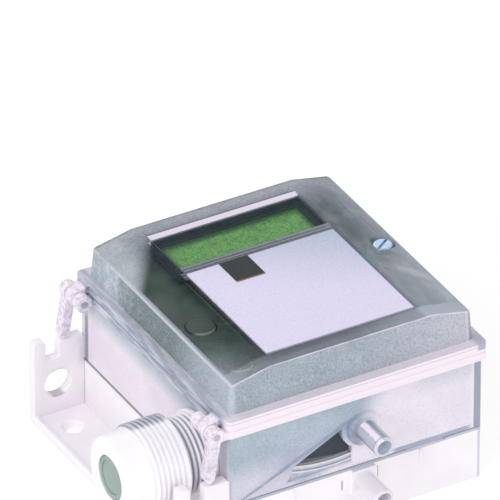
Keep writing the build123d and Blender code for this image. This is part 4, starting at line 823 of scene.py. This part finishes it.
def rounded_copy(node, width, body, surface, edge):
    """A copy of a CAD shell with rounded edges, whose edge faces have a material of their own."""
    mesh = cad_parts[node].data.copy()
    piece = bpy.data.objects.new(node + "_rounded", mesh)
    bpy.context.scene.collection.objects.link(piece)
    mesh.materials.clear()
    mesh.materials.append(surface)
    mesh.materials.append(edge)
    pick_only(piece)
    bpy.ops.object.mode_set(mode="EDIT")
    bpy.ops.mesh.select_all(action="SELECT")
    bpy.ops.mesh.remove_doubles(threshold=WELD * MM)
    bpy.ops.mesh.dissolve_limited(angle_limit=FLAT_ANGLE)
    bpy.ops.object.mode_set(mode="OBJECT")
    bevel = piece.modifiers.new("edges", "BEVEL")
    bevel.width = width * MM
    bevel.segments = 2
    bevel.limit_method = "ANGLE"
    bevel.angle_limit = EDGE_ANGLE
    bevel.material = 1
    bevel.use_clamp_overlap = True
    bpy.ops.object.modifier_apply(modifier=bevel.name)
    settle(piece, node + "_rounded", body, node)


def lathe(outline, material):
    """A turned piece about the gland's axis: a circle is extruded and scaled from ring to ring."""
    points = [(at * MM, radius * MM) for at, radius in outline]
    at, radius = points[0]
    centre = Vector((at, GLAND_AXIS.y * MM, GLAND_AXIS.z * MM))
    bpy.ops.object.select_all(action="DESELECT")
    bpy.ops.mesh.primitive_circle_add(
        vertices=LATHE_SIDES, radius=radius, location=centre, rotation=(0, math.pi / 2, 0)
    )
    piece = bpy.context.active_object
    bpy.ops.object.mode_set(mode="EDIT")
    bpy.ops.mesh.select_all(action="SELECT")
    for next_at, next_radius in points[1:]:
        bpy.ops.mesh.extrude_region_move(TRANSFORM_OT_translate={"value": (next_at - at, 0, 0)})
        centre.x = next_at
        grow = next_radius / radius
        bpy.ops.transform.resize(value=(1, grow, grow), center_override=centre)
        at, radius = next_at, next_radius
    bpy.ops.mesh.select_all(action="SELECT")
    bpy.ops.mesh.remove_doubles(threshold=LATHE_WELD * MM)
    bpy.ops.mesh.normals_make_consistent(inside=False)
    bpy.ops.object.mode_set(mode="OBJECT")
    piece.data.materials.append(material)
    return piece


def rings(start, end, pitch, base, peak, flank):
    """Outline points of rings between two radii, whose flanks each take this share of the pitch."""
    count = round(abs(end - start) / pitch)
    step = (end - start) / count
    points = []
    for index in range(count):
        at = start + index * step
        points += [
            (at, base),
            (at + flank * step, peak),
            (at + 0.5 * step, peak),
            (at + (0.5 + flank) * step, base),
        ]
    return points + [(end, base)]


def body_outline(sizes):
    """The gland's body from the case outwards: shank, flange and thread, then back through its bore."""
    wall, end = GLAND_HIGH.x, GLAND_LOW.x
    seat = end + SEAL_DEPTH
    groove = THREAD_RADIUS - sizes.thread_depth
    return (
        [(wall, GLAND_BORE), (wall, SHANK_RADIUS), (WALL_LEFT, SHANK_RADIUS)]
        + [(WALL_LEFT, FLANGE_RADIUS - CHAMFER), (WALL_LEFT - CHAMFER, FLANGE_RADIUS)]
        + [(FLANGE_FACE + CHAMFER, FLANGE_RADIUS), (FLANGE_FACE, FLANGE_RADIUS - CHAMFER)]
        + rings(FLANGE_FACE, end + RUN_OUT, sizes.thread_pitch, groove, THREAD_RADIUS, THREAD_FLANK)
        + [(end, THREAD_RADIUS - RUN_OUT), (end, SEAL_RADIUS), (seat, SEAL_RADIUS)]
        + [(seat, GLAND_BORE), (wall, GLAND_BORE)]
    )


def nut_outline(sizes):
    """The nut from its mouth inwards: rounded lip, nose, shoulder and ringed grip, then back through it."""
    tip, end, lip = NUT_LOW.x, NUT_HIGH.x, NUT_LOW.x + LIP_DEPTH
    shoulder = tip + NOSE_LENGTH
    groove = NUT_RADIUS - sizes.ridge_depth
    # The grip's rings are cut into it, so they run from the full radius down to the groove
    return (
        [(tip, MOUTH_RADIUS), (tip, NOSE_RADIUS - 0.9), (tip + 0.12, NOSE_RADIUS - 0.45)]
        + [(tip + 0.45, NOSE_RADIUS - 0.12), (tip + 0.9, NOSE_RADIUS), (shoulder - 0.9, NOSE_RADIUS + 0.4)]
        + [(shoulder - 0.2, NUT_RADIUS - 0.35), (shoulder + 0.3, NUT_RADIUS - 0.05)]
        + rings(shoulder + 0.9, end - 0.8, sizes.ridge_pitch, NUT_RADIUS, groove, RIDGE_FLANK)
        + [(end - 0.3, NUT_RADIUS), (end, NUT_RADIUS - 0.4), (end, NUT_BORE), (lip, NUT_BORE)]
        + [(lip, MOUTH_RADIUS), (tip, MOUTH_RADIUS)]
    )


class TRANSMITTER_OT_shells(bpy.types.Operator):
    """The lid, the case body, the back shell and its side bay, with rounded edges"""

    bl_idname = "transmitter.shells"
    bl_label = "Shells"

    def execute(self, context):
        sizes, tints = context.scene.transmitter_sizes, context.scene.transmitter_colours
        width, grain = sizes.edge_round, sizes.grain
        edge = bright_edge(tints)
        milky = milky_shell(tints, grain)
        rounded_copy("lid", width, "lid", LidFinish(tints, grain).made(), edge)
        rounded_copy("case_body", width, "case", frosted_wall(tints, grain), edge)
        rounded_copy("back_shell", width, "case", milky, edge)
        rounded_copy("side_bay", width, "case", milky, bay_edge())
        return {"FINISHED"}


class TRANSMITTER_OT_clear_pieces(bpy.types.Operator):
    """The window, the sight glass and the nozzles"""

    bl_idname = "transmitter.clear_pieces"
    bl_label = "Clear pieces"

    def execute(self, context):
        paint(window_clear(), "display_window")
        paint(sight_clear(), "sight_glass")
        paint(tube_clear(), "upper_nozzle")
        paint(nozzle_milky(), "lower_nozzle")
        return {"FINISHED"}


class TRANSMITTER_OT_gland(bpy.types.Operator):
    """The cable gland: its threaded body, the ringed nut, the seal and the dust disc"""

    bl_idname = "transmitter.gland"
    bl_label = "Cable gland"

    def execute(self, context):
        sizes, tints = context.scene.transmitter_sizes, context.scene.transmitter_colours
        grain, soft_shade = sizes.grain, colour(212, 206, 222)
        threaded = gland_white(
            "gland_thread", tints, grain, THREAD_RADIUS, sizes.thread_depth, 0.75, tints.thread
        )
        white = gland_white(
            "gland_white", tints, grain, NUT_RADIUS, sizes.ridge_depth, 0.5, soft_shade, lee=1.0
        )
        seal = moulded("seal_rubber", tints.seal, colour(140, 160, 154), 0.55, 0.5)
        body = lathe(body_outline(sizes), threaded)
        settle(body, "gland_body_threaded", "case", "gland_body")
        nut = lathe(nut_outline(sizes), white)
        settle(nut, "gland_nut_ringed", "gland_nut", "gland_nut")
        paint(white, "clamp_ring")
        paint(seal, "gland_seal", "dust_disc")
        return {"FINISHED"}


class TRANSMITTER_OT_front(bpy.types.Operator):
    """The label, its tag, the display and the dark panel with its keys"""

    bl_idname = "transmitter.front"
    bl_label = "Display and label"

    def execute(self, context):
        sizes, tints = context.scene.transmitter_sizes, context.scene.transmitter_colours
        panel = moulded("panel_plastic", tints.panel, colour(66, 86, 76), 0.5, 0.5, depth=0.02, ior=1.3)
        bezel = moulded("frame_plastic", colour(38, 50, 60), colour(54, 66, 76), 0.55, 0.4, ior=1.3)
        paint(label_film(tints), "label_plate")
        paint(tag_film(tints, sizes.grain), "label_tag")
        paint(display_green(tints), "display_glass")
        paint(panel, "front_panel")
        paint(key_plastic("zero_key", tints, shine=0.3), "zero_key")
        paint(key_plastic("range_key", tints, shine=0.9), "range_key")
        paint(bezel, "display_frame", "window_frame")
        return {"FINISHED"}


class TRANSMITTER_OT_inside(bpy.types.Operator):
    """Everything under the front panel, and the small metal pieces"""

    bl_idname = "transmitter.inside"
    bl_label = "Inner pieces"

    def execute(self, context):
        # capsule_upper is black; seen through the sight glass it makes the dark wedge there, a dark part
        # standing in for the shade in the gap between the wall and the capsule
        wearers = (
            (
                moulded("black_plastic", colour(36, 40, 46), colour(52, 57, 64), 0.42, 0.5),
                "capsule_upper board_components jumper_pins range_jumper board_header key_switches",
            ),
            (
                moulded("white_plastic", colour(240, 237, 244), colour(224, 221, 230), 0.35, 0.5),
                "capsule_lower light_guide",
            ),
            (
                moulded("black_rubber", colour(34, 34, 36), colour(46, 46, 48), 0.65, 0.4),
                "lid_gasket nozzle_seals diaphragm",
            ),
            (
                metal("steel", colour(196, 203, 212), 0.28),
                "hinge_pins back_screws diaphragm_plate tappet beam_clamp beam_screws capsule_screws "
                "sensor_pins board_screws display_screws screw_ring "
                "terminal_screw_1 terminal_screw_2 terminal_screw_3",
            ),
            (metal("screw_steel", colour(176, 200, 226), 0.2), "lid_screw"),
            (metal("brass", colour(214, 180, 104), 0.3), "screw_bush terminal_clamps display_spacers"),
            (board_green(), "circuit_board display_board"),
            (moulded("ceramic", colour(238, 236, 226), colour(222, 220, 210), 0.4, 0.3), "measuring_beam"),
            (
                moulded("terminal_plastic", colour(60, 140, 88), colour(48, 118, 74), 0.4, 0.4),
                "terminal_block",
            ),
        )
        for material, names in wearers:
            paint(material, *names.split())
        return {"FINISHED"}


class TRANSMITTER_OT_stage(bpy.types.Operator):
    """The pale floor, the soft lamps and the camera"""

    bl_idname = "transmitter.stage"
    bl_label = "Stage"

    def execute(self, context):
        bpy.ops.object.select_all(action="DESELECT")
        bpy.ops.mesh.primitive_plane_add(size=FLOOR_SIDE, location=(0, 0, FLOOR_LEVEL * MM))
        floor = bpy.context.active_object
        floor.name = "floor"
        floor.data.materials.append(self.floor_white())
        self.sky(context.scene)
        self.lamp("key_lamp", place=(-1.0, -0.45, 1.0), size=0.9, power=8.0)
        self.lamp("fill_lamp", place=(0.5, -1.5, 0.6), size=1.0, power=4.0)
        self.lamp("back_lamp", place=(0.15, 1.0, 0.9), size=0.8, power=2.5)
        self.camera(context.scene)
        context.scene.view_settings.view_transform = "Standard"
        return {"FINISHED"}

    def floor_white(self):
        """A matt floor with a glow of its own, which leaves only faint shadows."""
        finish = Finish("floor_white")
        matt = finish.node("ShaderNodeBsdfDiffuse", None, {"Color": (0.42, 0.42, 0.42)})
        glow = finish.node("ShaderNodeEmission", None, {"Color": (1, 1, 1), "Strength": 0.66})
        return finish.done(finish.node("ShaderNodeAddShader", None, {0: matt, 1: glow}))

    def sky(self, scene):
        """A white sky, dimmer as a lamp than where it is seen, mirrored or looked through to."""
        scene.world = bpy.data.worlds.new("studio")
        scene.world.use_nodes = True
        net = Net(scene.world.node_tree)
        camera, glossy, through = [
            net.node("ShaderNodeLightPath", output=ray)
            for ray in ("Is Camera Ray", "Is Glossy Ray", "Is Transmission Ray")
        ]
        strength = SKY_LIGHT + camera.most(glossy).most(through) * (1 - SKY_LIGHT)
        sky = net.node("ShaderNodeBackground", None, {"Color": (1, 1, 1), "Strength": strength})
        net.node("ShaderNodeOutputWorld", None, {"Surface": sky})

    def lamp(self, name, place, size, power):
        """A round lamp that looks at the case."""
        data = bpy.data.lights.new(name, "AREA")
        data.shape = "DISK"
        data.size = size
        data.energy = power
        lamp = bpy.data.objects.new(name, data)
        lamp.location = place
        lamp.rotation_euler = (LAMP_AIM - Vector(place)).to_track_quat("-Z", "Y").to_euler()
        bpy.context.scene.collection.objects.link(lamp)

    def camera(self, scene):
        """The photograph's view from the front left and above, far off with a long lens."""
        right = Vector((math.cos(VIEW_AZIMUTH), math.sin(VIEW_AZIMUTH), 0))
        level_back = Vector((math.sin(VIEW_AZIMUTH), -math.cos(VIEW_AZIMUTH), 0))
        back = level_back * math.cos(VIEW_ELEVATION) + Vector((0, 0, math.sin(VIEW_ELEVATION)))
        up = back.cross(right)
        aim = (Vector((0, 0, LID_EDGE)) + right * VIEW_RIGHT + up * VIEW_UP) * MM
        data = bpy.data.cameras.new("camera")
        data.sensor_width = 36
        data.lens = data.sensor_width * VIEW_DISTANCE * PIXELS_PER_METRE / PHOTO_SIDE
        data.clip_start, data.clip_end = 0.1, 20
        camera = bpy.data.objects.new("camera", data)
        camera.rotation_mode = "QUATERNION"
        camera.location = aim + back * VIEW_DISTANCE
        camera.rotation_quaternion = (-back).to_track_quat("-Z", "Y")
        scene.collection.objects.link(camera)
        scene.camera = camera


STEPS = (
    TRANSMITTER_OT_shells,
    TRANSMITTER_OT_clear_pieces,
    TRANSMITTER_OT_gland,
    TRANSMITTER_OT_front,
    TRANSMITTER_OT_inside,
    TRANSMITTER_OT_stage,
)


class TRANSMITTER_PT_panel(bpy.types.Panel):
    """The transmitter's settings and steps"""

    bl_label = "Transmitter"
    bl_space_type = "VIEW_3D"
    bl_region_type = "UI"
    bl_category = "Transmitter"

    def draw(self, context):
        for settings in (context.scene.transmitter_sizes, context.scene.transmitter_colours):
            box = self.layout.box()
            for name in settings.__annotations__:
                box.prop(settings, name)
        for step in STEPS:
            self.layout.operator(step.bl_idname)


CLASSES = (TransmitterSizes, TransmitterColours, *STEPS, TRANSMITTER_PT_panel)


def register():
    for each in CLASSES:
        bpy.utils.register_class(each)
    bpy.types.Scene.transmitter_sizes = bpy.props.PointerProperty(type=TransmitterSizes)
    bpy.types.Scene.transmitter_colours = bpy.props.PointerProperty(type=TransmitterColours)


def unregister():
    del bpy.types.Scene.transmitter_colours
    del bpy.types.Scene.transmitter_sizes
    for each in reversed(CLASSES):
        bpy.utils.unregister_class(each)


def main():
    register()
    bpy.ops.transmitter.shells()
    bpy.ops.transmitter.clear_pieces()
    bpy.ops.transmitter.gland()
    bpy.ops.transmitter.front()
    bpy.ops.transmitter.inside()
    bpy.ops.transmitter.stage()


if __name__ == "__main__":
    main()
